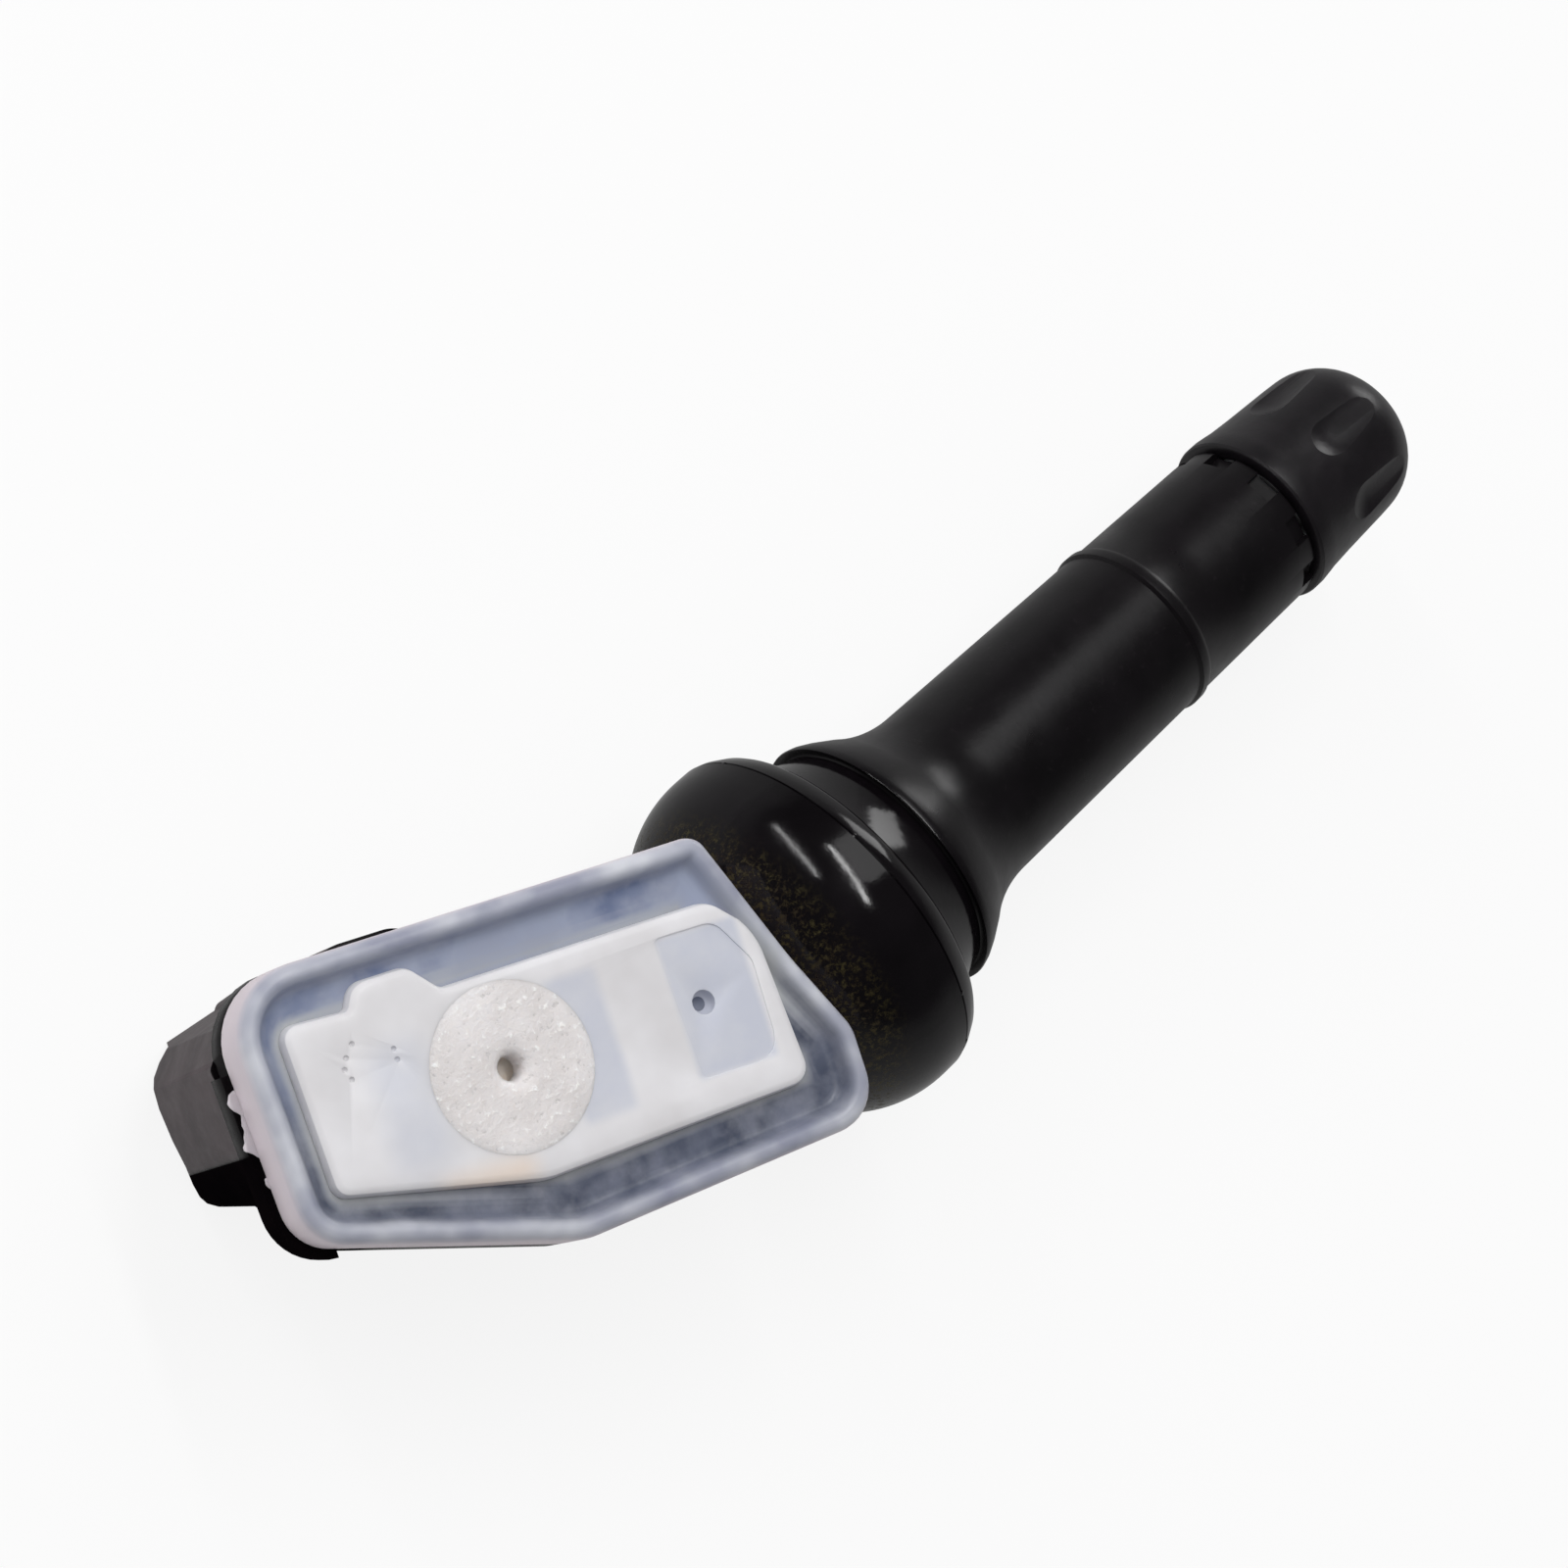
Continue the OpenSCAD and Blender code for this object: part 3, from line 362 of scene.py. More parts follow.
def moved_in(corners, inset):
    """Moves every side of a clockwise outline inwards and returns the new corners."""
    out = []
    count = len(corners)
    for i in range(count):
        a, b, c = (Vector(corners[(i + k - 1) % count]) for k in range(3))
        u, v = (b - a).normalized(), (c - b).normalized()
        nu, nv = Vector((u.y, -u.x)), Vector((v.y, -v.x))
        out.append(b + (nu + nv) * inset / (1 + nu.dot(nv)))
    return out


def outline(corners, rounds, inset=0.0, steps=10, least=0.25):
    corners = moved_in(corners, inset)
    count = len(corners)
    points = []
    for i in range(count):
        a, b, c = corners[i - 1], corners[i], corners[(i + 1) % count]
        u, v = (a - b).normalized(), (c - b).normalized()
        half = math.acos(max(-1, min(1, u.dot(v)))) / 2
        convex = u.x * v.y - u.y * v.x > 0
        r = max(rounds[i] - inset, least) if convex else rounds[i] + inset
        reach = r / math.tan(half)
        room = 0.49 * min((a - b).length, (c - b).length)
        if reach > room:
            r, reach = r * room / reach, room
        middle = b + (u + v).normalized() * r / math.sin(half)
        s, e = b + u * reach - middle, b + v * reach - middle
        turn = math.atan2(s.x * e.y - s.y * e.x, s.dot(e))
        first = math.atan2(s.y, s.x)
        for k in range(steps + 1):
            t = first + turn * k / steps
            points.append((middle.x + r * math.cos(t), middle.y + r * math.sin(t)))
    return points


print("cover outline:", len(outline(COVER_CORNERS, COVER_ROUNDS)), "points")

# %% [markdown]
# A stack of such outlines is skinned the way one would by hand: the first ring is drawn point
# by point, each next ring is an extrude of the last, moved to its own outline and height, and
# the two open ends are filled.

# %% Helper that skins a stack of outlines
def skinned(name, rings):
    """rings: lists of places, all with as many points."""
    piece = first_point(name, rings[0][0])
    draw_on(rings[0][1:], rings[0][0])
    bpy.ops.mesh.select_all(action="SELECT")
    bpy.ops.mesh.edge_face_add()
    shift = piece.location.copy()
    for before, ring in zip(rings, rings[1:]):
        bpy.ops.mesh.extrude_region_move(TRANSFORM_OT_translate={"value": (0, 0, 1e-6)})
        bm = bmesh.from_edit_mesh(piece.data)
        near = [v for v in bm.verts if v.select]
        for vertex in near:
            index = min(range(len(before)), key=lambda i: (before[i] - shift - vertex.co).length)
            vertex.co = ring[index] - shift
        bmesh.update_edit_mesh(piece.data)
    bpy.ops.mesh.select_all(action="SELECT")
    bpy.ops.mesh.normals_make_consistent(inside=False)
    return finish_mesh(piece)


def cover_ring(inset, z):
    return [on_house(p, q, z) for p, q in outline(COVER_CORNERS, COVER_ROUNDS, inset)]


def island_ring(inset, z):
    return [on_house(p, q, z) for p, q in outline(ISLAND_CORNERS, ISLAND_ROUNDS, inset, steps=8, least=0.2)]


# %% [markdown]
# ## The cover
# The cover is a thin milky moulding, welded on the tray. A rounded rim runs all round it, then
# a lower band that is thin enough to let the dark inside show, and a raised island in the
# middle. It is skinned from its underside, out over the rim and in again across the band. The
# band gets several rings, because its colour will change across it.

# %% Skin the cover
JOINT_Z, RIM_Z, BAND_Z, PLATE_Z = 6.0, 9.0, 8.1, 7.3
ISLAND_Z = RIM_Z - 0.15
cover_rings = [
    (3.2, PLATE_Z), (1.1, PLATE_Z), (1.1, JOINT_Z), (0.06, JOINT_Z), (0.0, JOINT_Z + 0.08),
    (0.0, JOINT_Z + 1.2), (0.0, RIM_Z - 0.7), (0.05, RIM_Z - 0.42), (0.17, RIM_Z - 0.18), (0.34, RIM_Z - 0.04),
    (0.5, RIM_Z), (0.66, RIM_Z), (0.8, RIM_Z - 0.05), (0.93, RIM_Z - 0.17), (1.05, RIM_Z - 0.4),
    (1.15, BAND_Z + 0.22), (1.3, BAND_Z + 0.06), (1.5, BAND_Z), (1.75, BAND_Z), (2.0, BAND_Z),
    (2.25, BAND_Z), (2.5, BAND_Z), (2.85, BAND_Z), (3.2, BAND_Z),
]
cover = skinned("cover_shell", [cover_ring(inset, z) for inset, z in cover_rings])
island_rings = [
    (0.0, BAND_Z - 0.3), (0.0, BAND_Z + 0.1), (0.03, BAND_Z + 0.35), (0.12, ISLAND_Z - 0.14),
    (0.28, ISLAND_Z - 0.03), (0.45, ISLAND_Z), (0.9, ISLAND_Z),
]
island = skinned("cover_island", [island_ring(inset, z) for inset, z in island_rings])
print("cover:", triangles(cover), "island:", triangles(island))

# %% [markdown]
# The island carries a few small things: a recess with a dimple near the valve, and a group of
# tiny pits left by bubbles in the plastic. Each is cut with a solid of its own, made from a
# primitive or from an outline.

# %% Cut the recess, the dimple and the pits
def block_from(name, points, low, high):
    return skinned(name, [[on_house(p, q, z) for p, q in points] for z in (low, high)])


def pin_tool(p, q, radius, low, high):
    clear_selection()
    bpy.ops.mesh.primitive_cone_add(
        vertices=40, radius1=radius * MM, radius2=radius * MM, depth=(high - low) * MM,
        location=on_house(p, q, (low + high) / 2),
    )
    piece = bpy.context.object
    bpy.ops.object.transform_apply(location=True, rotation=True, scale=True)
    return piece


def pit_tool(p, q, radius, z):
    clear_selection()
    place = on_house(p, q, z)
    bpy.ops.mesh.primitive_uv_sphere_add(segments=16, ring_count=8, radius=radius * MM, location=place)
    piece = bpy.context.object
    bpy.ops.object.transform_apply(location=True, rotation=True, scale=True)
    return piece


RECESS_CORNERS = [(-8.0, 3.5), (-4.75, 3.45), (-3.45, 1.2), (-3.6, -3.5), (-7.75, -3.4)]
RECESS = outline(RECESS_CORNERS, [0.3, 1.0, 1.2, 1.2, 0.3], steps=4)
RECESS_DEPTH, DIMPLE_R, DIMPLE_DROP, PIT_R, PIT_DROP = 0.08, 0.62, 0.25, 0.14, 0.02
PITS = [(-24.03, 2.75), (-23.57, 3.27), (-24.27, 2.27), (-24.09, 1.76), (-21.76, 2.48), (-21.75, 1.98)]
cut(island, block_from("cutter", RECESS, ISLAND_Z - RECESS_DEPTH, RIM_Z + 1))
cut(island, pit_tool(-6.5, 0.0, DIMPLE_R, ISLAND_Z - DIMPLE_DROP))
for p, q in PITS:
    cut(island, pit_tool(p, q, PIT_R, ISLAND_Z - PIT_DROP))
soften(island, 0.1, segments=3, angle=50)
print("island with its recesses:", triangles(island), "triangles")

# %% [markdown]
# The disc round the port is nearly level with the island, and dips towards its hole, which goes
# right through the cover to the sensor below. It is turned like the valve, but round the port's
# own upright axis. The island and the cover get a hole that it fits in.

# %% Turn the disc round the port
PORT_P, DISC_HOLE_R = -16.6, 3.98
port_centre = on_house(PORT_P, 0, 0)
disc_profile = [
    (0.6, PLATE_Z), (0.62, RIM_Z - 0.5), (0.76, RIM_Z - 0.26), (1.0, RIM_Z - 0.14),
    (1.6, RIM_Z - 0.11), (2.8, RIM_Z - 0.08), (3.4, RIM_Z - 0.08), (3.8, RIM_Z - 0.11),
    (4.02, RIM_Z - 0.147), (4.02, RIM_Z - 0.4), (4.0, PLATE_Z),
]
disc_places = [port_centre + Vector((r * MM, 0, z * MM)) for r, z in disc_profile]
disc = spun("cover_disc", disc_places, port_centre, (0, 0, 1), steps=96)
for plate in (island, cover):
    cut(plate, pin_tool(PORT_P, 0, DISC_HOLE_R, PLATE_Z - 1, RIM_Z + 1))
print("disc:", triangles(disc), "triangles")

# %% [markdown]
# ## The tray
# The black tray is one moulding with many flat faces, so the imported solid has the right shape
# already. Only its edges are too sharp. A copy is merged, its flat triangles are dissolved into
# faces again, and a narrow bevel gives every edge the small round of a mould. The block's far
# end also follows the round cell inside, so a shaped cutter trims its end to a curve first.

# %% Copy the tray and round its edges
def dressed_copy(node, name):
    make_active(nodes[node])
    bpy.ops.object.duplicate()
    piece = bpy.context.object
    piece.parent = None
    for key in list(piece.keys()):
        del piece[key]
    piece.name = piece.data.name = name
    make_active(piece)
    bpy.ops.object.mode_set(mode="EDIT")
    bpy.ops.mesh.select_all(action="SELECT")
    bpy.ops.mesh.remove_doubles(threshold=2e-6)
    bpy.ops.mesh.dissolve_limited(angle_limit=math.radians(1.5))
    bpy.ops.object.mode_set(mode="OBJECT")
    piece.data.materials.clear()
    return piece


tray = dressed_copy("tray", "tray_shell")
END_CURVE = [
    (1.4, 6.1), (0.7, 5.46), (0.22, 4.85), (0.04, 4.35), (0.0, 3.4), (0.14, 1.75), (0.36, 0.36),
    (0.43, -0.57), (0.56, -1.24), (0.79, -1.62), (1.26, -1.92), (2.95, -2.45), (3.6, -3.2),
    (3.6, -3.6), (-2.0, -3.6), (-2.0, 7.2), (1.4, 7.2),
]
END_AT_HEIGHTS = [(-27.02, -11.0), (-27.35, -9.85), (-28.78, -5.0), (-28.78, 4.2)]
end_rings = [[on_house(end + out, q, z) for out, q in END_CURVE] for end, z in END_AT_HEIGHTS]
cut(tray, skinned("cutter", end_rings))
soften(tray, 0.1, segments=2, angle=28)
print("tray:", triangles(tray), "triangles")

# %% [markdown]
# ## The threaded stem
# With the cap off, the alloy stem shows its thread. The stem is turned at the bottom diameter
# of the thread, and one ridge is swept round it as a screw: a small triangle goes once round
# for each pitch, 0.794 mm apart, which is the standard pitch of 32 to the inch.

# %% Turn the stem and wind its thread
PITCH = 0.794
STEM_LEN = (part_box("valve_stem")[1].x - EDGE_X) / MM
TAIL_X = (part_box("valve_stem")[0].x - EDGE_X) / MM
THREAD_LOW, THREAD_R, THREAD_ROOT = RUBBER_LEN - 0.6, 3.85, 3.42
stem_profile = (
    [(TAIL_X, 1.75), (TAIL_X, 3.1), (TAIL_X + 0.3, 3.4), (-9.6, 3.4), (-9.6, 4.9), (-9.3, 5.2)]
    + [(-8.1, 5.2), (-7.8, 4.9), (-7.2, 3.6), (14.0, 3.6), (14.4, 3.2), (15.6, 3.2), (16.0, 3.6)]
    + [(THREAD_LOW - 0.2, 3.6), (THREAD_LOW, THREAD_ROOT), (STEM_LEN - 0.45, THREAD_ROOT)]
    + [(STEM_LEN, 3.05), (STEM_LEN, 2.7), (STEM_LEN - 0.15, 2.55), (STEM_LEN - 8.0, 2.55)]
    + [(STEM_LEN - 8.0, 2.35), (28.6, 2.35), (27.6, 2.0), (-5.6, 2.0), (-5.6, 1.75)]
)
stem = turned("alloy_stem", stem_profile, steps=96)


def wound_ridge(name, start, length, root, top, pitch, steps=40):
    ridge = [
        (0.0, root - 0.06), (pitch * 0.42, top - 0.03), (pitch * 0.5, top), (pitch * 0.58, top - 0.03),
        (pitch * 0.96, root - 0.06),
    ]
    piece = draw_closed(name, [on_stem(start + x, 0, r) for x, r in ridge])
    bpy.ops.object.mode_set(mode="OBJECT")
    make_active(piece)
    bpy.ops.object.transform_apply(location=True, rotation=True, scale=True)
    bpy.context.scene.cursor.location = on_stem(0)
    bpy.ops.object.origin_set(type="ORIGIN_CURSOR")
    turns = (length - pitch) / pitch
    apply_modifier(
        piece, "SCREW", axis="X", angle=math.tau * turns, screw_offset=pitch * turns * MM,
        steps=int(steps * turns), render_steps=int(steps * turns), use_merge_vertices=False,
    )
    bpy.ops.object.mode_set(mode="EDIT")
    bpy.ops.mesh.select_all(action="DESELECT")
    bpy.ops.mesh.select_non_manifold()
    bpy.ops.mesh.fill_holes(sides=8)
    bpy.ops.mesh.select_all(action="SELECT")
    bpy.ops.mesh.normals_make_consistent(inside=False)
    return finish_mesh(piece)


thread = wound_ridge("stem_thread", THREAD_LOW, STEM_LEN - THREAD_LOW - 0.55, THREAD_ROOT, THREAD_R, PITCH)
print("stem:", triangles(stem), "thread:", triangles(thread))

# %% [markdown]
# ## Marks of the mould
# Real mouldings carry flash: thin torn scraps where the two halves of a mould met. The cover
# has some that lies on the tray's ledge, and the bulb has a few specks along its parting line.
# Each scrap is a small outline with a ragged edge, drawn point by point and given a thickness.

# %% Scraps of flash
def scrap(name, places, thickness):
    """A ragged flake: an outline of places, thickened along its own normal."""
    piece = first_point(name, places[0])
    draw_on(places[1:], places[0])
    bpy.ops.mesh.select_all(action="SELECT")
    bpy.ops.mesh.edge_face_add()
    finish_mesh(piece)
    apply_modifier(piece, "SOLIDIFY", thickness=thickness * MM, offset=0.0)
    return soften(piece, 0.04, segments=2, angle=30)


LEDGE_Z = JOINT_Z + 0.07
flash_rows = [
    [(-28.4, 3.0), (-28.62, 2.98), (-28.86, 2.86), (-28.93, 2.7), (-29.04, 2.5), (-28.98, 2.3),
     (-28.86, 2.1), (-28.7, 1.95), (-28.6, 1.83), (-28.66, 1.6), (-28.72, 1.38), (-28.68, 1.12),
     (-28.8, 0.85), (-28.84, 0.6), (-28.98, 0.42), (-28.97, 0.25), (-28.78, 0.12), (-28.62, 0.0),
     (-28.5, -0.15), (-28.35, -0.3)],
    [(-28.32, -1.15), (-28.48, -1.2), (-28.52, -1.45), (-28.46, -1.6), (-28.3, -1.8)],
]
FLASH_T, SPECK_T = 0.12, 0.22
flakes = [scrap("flash_a", [on_house(p, q, LEDGE_Z) for p, q in row], FLASH_T) for row in flash_rows]
cover_flash = joined("cover_flash", flakes)


SEAM_X, SEAM_R, SPECK_HEIGHT = -4.35, 9.8, 0.04
SPECKS = [(-62, 0.5), (-38, 0.35), (21, 0.4), (74, 0.3)]


def bulb_speck(turn, length):
    """A speck on the bulb's parting line, turned round the stem from the top."""
    c, s = math.cos(math.radians(turn)), math.sin(math.radians(turn))
    rows = [
        (SEAM_X - length / 2, SEAM_R - 0.02), (SEAM_X - length * 0.3, SEAM_R + SPECK_HEIGHT * 0.7),
        (SEAM_X, SEAM_R + SPECK_HEIGHT), (SEAM_X + length * 0.25, SEAM_R + SPECK_HEIGHT * 0.5),
        (SEAM_X + length / 2, SEAM_R - 0.04),
    ]
    return scrap("speck", [on_stem(x, r * s, r * c) for x, r in rows], SPECK_T)


specks = [bulb_speck(turn, length) for turn, length in SPECKS]
rubber_specks = joined("rubber_specks", specks)
print("flash:", triangles(cover_flash), "specks:", triangles(rubber_specks))

# %% [markdown]
# ## Which body each piece rides on
# The cap turns and slides off, the pin moves in and out, and all the rest is one body. A new
# piece that stands for a solid hides it, so nothing is drawn twice.

# %% Ride and replace
for piece in (rubber, stem, thread, tray, cover, island, disc, cover_flash, rubber_specks):
    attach(piece, "sensor")
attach(cap, "cap")
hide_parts("valve_rubber")
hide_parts("valve_stem")
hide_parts("tray")
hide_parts("cover")
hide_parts("valve_cap")

# %% [markdown]
# ## Materials: how they are built
# No surface here is one flat colour. A helper gives each material the same skeleton: a
# pattern on object coordinates shifts the colour a little, a second one shifts the roughness,
# and a fine one raises the surface. The patterns use metres, so a scale of 1000 is about a
# millimetre. Colours are written as they look on a screen and turned into linear values.

# %% Helpers for materials
def screen(r, g, b):
    return tuple(((c / 255 + 0.055) / 1.055) ** 2.4 if c > 10 else c / 255 / 12.92 for c in (r, g, b)) + (1.0,)


class Finish:
    """A material with short calls for its nodes."""

    def __init__(self, name):
        self.material = bpy.data.materials.new(name)
        self.material.use_nodes = True
        self.nodes = self.material.node_tree.nodes
        self.links = self.material.node_tree.links
        self.shader = self.nodes["Principled BSDF"]
        self.coords = self.nodes.new("ShaderNodeTexCoord").outputs["Object"]

    def link(self, a, b):
        self.links.new(a, b)

    def set(self, **values):
        for key, value in values.items():
            self.shader.inputs[key.replace("_", " ")].default_value = value

    def noise(self, scale, detail=4.0, rough=0.55, stretch=None):
        node = self.nodes.new("ShaderNodeTexNoise")
        node.inputs["Scale"].default_value = scale
        node.inputs["Detail"].default_value = detail
        node.inputs["Roughness"].default_value = rough
        if stretch:
            mapping = self.nodes.new("ShaderNodeMapping")
            mapping.inputs["Scale"].default_value = stretch
            self.link(self.coords, mapping.inputs["Vector"])
            self.link(mapping.outputs["Vector"], node.inputs["Vector"])
        else:
            self.link(self.coords, node.inputs["Vector"])
        return node.outputs["Fac"]

    def ranged(self, value, low, high, to_low=0.0, to_high=1.0, smooth=False):
        node = self.nodes.new("ShaderNodeMapRange")
        node.interpolation_type = "SMOOTHSTEP" if smooth else "LINEAR"
        for key, number in (("From Min", low), ("From Max", high), ("To Min", to_low), ("To Max", to_high)):
            node.inputs[key].default_value = number
        self.link(value, node.inputs["Value"])
        return node.outputs["Result"]

    def maths(self, kind, a, b):
        node = self.nodes.new("ShaderNodeMath")
        node.operation = kind
        for socket, value in zip(node.inputs, (a, b)):
            if isinstance(value, (int, float)):
                socket.default_value = value
            else:
                self.link(value, socket)
        return node.outputs[0]

    def mix(self, factor, a, b):
        node = self.nodes.new("ShaderNodeMix")
        node.data_type = "RGBA"
        for socket, value in ((node.inputs[0], factor), (node.inputs[6], a), (node.inputs[7], b)):
            if isinstance(value, (int, float, tuple)):
                socket.default_value = value
            else:
                self.link(value, socket)
        return node.outputs[2]

    def stored(self, name):
        node = self.nodes.new("ShaderNodeAttribute")
        node.attribute_name = name
        return node.outputs["Fac"]

    def part(self, axis):
        node = self.nodes.new("ShaderNodeSeparateXYZ")
        self.link(self.coords, node.inputs[0])
        return node.outputs[axis]

    def colour(self, output):
        self.link(output, self.shader.inputs["Base Color"])

    def roughness(self, output):
        self.link(output, self.shader.inputs["Roughness"])

    def bump(self, height, strength=0.2, distance=0.00005, over=None):
        node = self.nodes.new("ShaderNodeBump")
        node.inputs["Strength"].default_value = strength
        node.inputs["Distance"].default_value = distance
        self.link(height, node.inputs["Height"])
        if over:
            self.link(over, node.inputs["Normal"])
        self.link(node.outputs["Normal"], self.shader.inputs["Normal"])
        return node.outputs["Normal"]


def house_places(finish):
    """The distances along and across the housing, in millimetres, for a material."""
    u = finish.maths("SUBTRACT", finish.part(0), EDGE_X - PIVOT * MM)
    v = finish.maths("SUBTRACT", finish.part(1), AXIS_Y)
    places = []
    for a, b in ((math.cos(SKEW), -math.sin(SKEW)), (math.sin(SKEW), math.cos(SKEW))):
        places.append(finish.maths("ADD", finish.maths("MULTIPLY", u, a / MM), finish.maths("MULTIPLY", v, b / MM)))
    return places


def plain_finish(
    name, dark, light, rough=(0.4, 0.55), scale=700.0, grain=4000.0, depth=0.00002, **sockets
):
    finish = Finish(name)
    cloud = finish.noise(scale)
    finish.colour(finish.mix(finish.ranged(cloud, 0.3, 0.7), dark, light))
    finish.roughness(finish.ranged(finish.noise(scale * 2.3), 0.3, 0.7, rough[0], rough[1]))
    finish.bump(finish.noise(grain, 3.0), 0.25, depth)
    finish.set(**sockets)
    return finish.material


def wear(piece, material):
    piece.data.materials.clear()
    piece.data.materials.append(material)


# %% [markdown]
# ## Black rubber
# The bulb and neck are polished by the mould and by the lubricant used in fitting, so they
# mirror the lamps. The sleeve and shoulder are matte. Behind the bulb, where the housing sits,
# brown and golden dust clings to the rubber. The finish therefore changes along the stem, which
# is the X of the object coordinates.

# %% Rubber finish
def rubber_finish():
    finish = Finish("moulded_rubber")
    along = finish.maths("SUBTRACT", finish.part(0), EDGE_X)
    cloud = finish.noise(260.0, 5.0)
    fine = finish.noise(2600.0, 3.0)
    black = finish.mix(finish.ranged(cloud, 0.3, 0.7), screen(9, 7, 9), screen(18, 15, 18))
    sleeve = finish.ranged(along, -0.2 * MM, 0.4 * MM, smooth=True)
    worn = finish.mix(finish.ranged(fine, 0.62, 0.75, 0.0, 0.2), black, screen(52, 47, 50))
    shade = finish.mix(finish.maths("MULTIPLY", sleeve, 0.8), black, worn)
    behind = finish.ranged(along, -7.2 * MM, -9.2 * MM, smooth=True)
    specks = finish.ranged(finish.noise(3600.0, 5.0, 0.7), 0.48, 0.64)
    hue = finish.mix(finish.ranged(finish.noise(900.0), 0.35, 0.65), screen(44, 30, 14), screen(78, 70, 34))
    dusty = finish.maths("MULTIPLY", behind, finish.maths("MULTIPLY", specks, 0.58))
    finish.colour(finish.mix(dusty, shade, hue))
    gloss = finish.ranged(finish.noise(500.0, 4.0), 0.3, 0.7, 0.09, 0.15)
    matte = finish.ranged(finish.noise(700.0, 4.0), 0.3, 0.7, 0.27, 0.35)
    blend = finish.nodes.new("ShaderNodeMix")
    finish.link(sleeve, blend.inputs[0])
    finish.link(gloss, blend.inputs[2])
    finish.link(matte, blend.inputs[3])
    finish.roughness(finish.maths("ADD", blend.outputs[0], finish.maths("MULTIPLY", dusty, 0.7)))
    ripple = finish.bump(finish.noise(420.0, 2.0), 0.12, 0.00006)
    finish.bump(fine, 0.16, 0.00003, over=ripple)
    finish.set(Specular_IOR_Level=0.27)
    return finish.material


moulded_rubber = rubber_finish()
wear(rubber, moulded_rubber)
wear(rubber_specks, moulded_rubber)
cap_plastic = plain_finish(
    "cap_plastic", screen(16, 14, 17), screen(26, 22, 26), rough=(0.3, 0.38),
    scale=420.0, grain=3600.0, depth=0.00003, Specular_IOR_Level=0.42,
)
wear(cap, cap_plastic)

# %% [markdown]
# ## Black moulded plastic of the tray
# The tray is glass-filled plastic: grey and matte on its upper walls, where the mould was
# spark-eroded. The black on its ledge and at the far end's lower corner is painted shade, where
# the light misses these faces. The place of a point on the housing and above the ground drives
# the change.

# %% Tray finish
def tray_finish():
    finish = Finish("tray_plastic")
    cloud = finish.noise(330.0, 5.0)
    grain = finish.noise(5200.0, 4.0, 0.7)
    grey = finish.mix(finish.ranged(cloud, 0.3, 0.7), screen(66, 58, 61), screen(89, 79, 82))
    fibres = finish.mix(finish.ranged(grain, 0.58, 0.72, 0.0, 0.35), grey, screen(108, 98, 101))
    along, across = house_places(finish)
    # Painted shade: the far end's lower corner and the ledge are coloured black, where the light misses them.
    low = finish.maths(
        "MULTIPLY", finish.ranged(across, 0.15, -0.1, smooth=True),
        finish.ranged(along, -22.0, -25.0, smooth=True),
    )
    high = finish.ranged(finish.part(2), AXIS_Z + 4.3 * MM, AXIS_Z + 4.5 * MM, smooth=True)
    dark = finish.maths("MAXIMUM", low, high)
    # The near-black that the painted shade mixes into the grey.
    black = finish.mix(finish.ranged(cloud, 0.3, 0.7), screen(8, 6, 8), screen(15, 11, 13))
    finish.colour(finish.mix(dark, fibres, black))
    rough = finish.ranged(finish.noise(900.0), 0.3, 0.7, 0.38, 0.5)
    finish.roughness(finish.maths("SUBTRACT", rough, finish.maths("MULTIPLY", dark, 0.2)))
    finish.bump(grain, 0.25, 0.00003)
    shine = finish.maths("MULTIPLY", finish.ranged(low, 0.0, 1.0, 0.35, 0.0), finish.ranged(high, 0.0, 1.0, 1.0, 0.2))
    finish.link(shine, finish.shader.inputs["Specular IOR Level"])
    return finish.material


wear(tray, tray_finish())

# %% [markdown]
# ## Milky translucent cover
# The cover is white plastic with little pigment. Where it is thick, light scatters in it and it
# looks white. Where it is thin over the dark inside, it looks blue-grey. A true volume would be
# slow and noisy, so the depth of the dark is worked out for each point of the mesh instead, from
# its distance to the rim and to the island, and stored as an attribute that the material reads.
# Light and shade are also painted in: the band is lighter on its upper side, darker on its
# lower side, and greyer at the foot of the island.

# %% Store how dark each point of the cover looks
def distance_to(point, polygon):
    best = 1e9
    for i in range(len(polygon)):
        a, b = Vector(polygon[i - 1]), Vector(polygon[i])
        side = b - a
        t = 0 if side.length_squared < 1e-12 else max(0, min(1, (point - a).dot(side) / side.length_squared))
        best = min(best, (point - a - side * t).length)
    return best


def to_house(co):
    x, y = (co.x - EDGE_X) / MM, (co.y - AXIS_Y) / MM
    u = x + PIVOT
    return Vector((u * math.cos(SKEW) - y * math.sin(SKEW), u * math.sin(SKEW) + y * math.cos(SKEW)))


def step(low, high, value):
    t = max(0, min(1, (value - low) / (high - low)))
    return t * t * (3 - 2 * t)


cover_line = outline(COVER_CORNERS, COVER_ROUNDS)
island_line = outline(ISLAND_CORNERS, ISLAND_ROUNDS, steps=4)


def store(piece, name, rule):
    layer = piece.data.attributes.new(name, "FLOAT", "POINT")
    for vertex in piece.data.vertices:
        layer.data[vertex.index].value = rule(vertex.co)


def band_depth(co):
    place = to_house(co)
    height = (co.z - AXIS_Z) / MM
    if height < BAND_Z - 0.05:
        return 0.0
    rim = distance_to(place, cover_line)
    inner = distance_to(place, island_line)
    return step(0.4, 1.5, rim) * step(0.0, 0.6, inner)


def skirt_share(co):
    outer = 1 - step(0.05, 0.6, distance_to(to_house(co), cover_line))
    return (1 - step(8.1, 8.95, (co.z - AXIS_Z) / MM)) * outer


# Painted shade: how much greyer the cover is at the foot of the island, where the band meets the island's wall.
def island_foot_shade(co):
    return 1 - step(0.05, 0.9, distance_to(to_house(co), island_line))


store(cover, "band", band_depth)
store(cover, "skirt", skirt_share)
store(cover, "inner", island_foot_shade)
print("cover points:", len(cover.data.vertices))


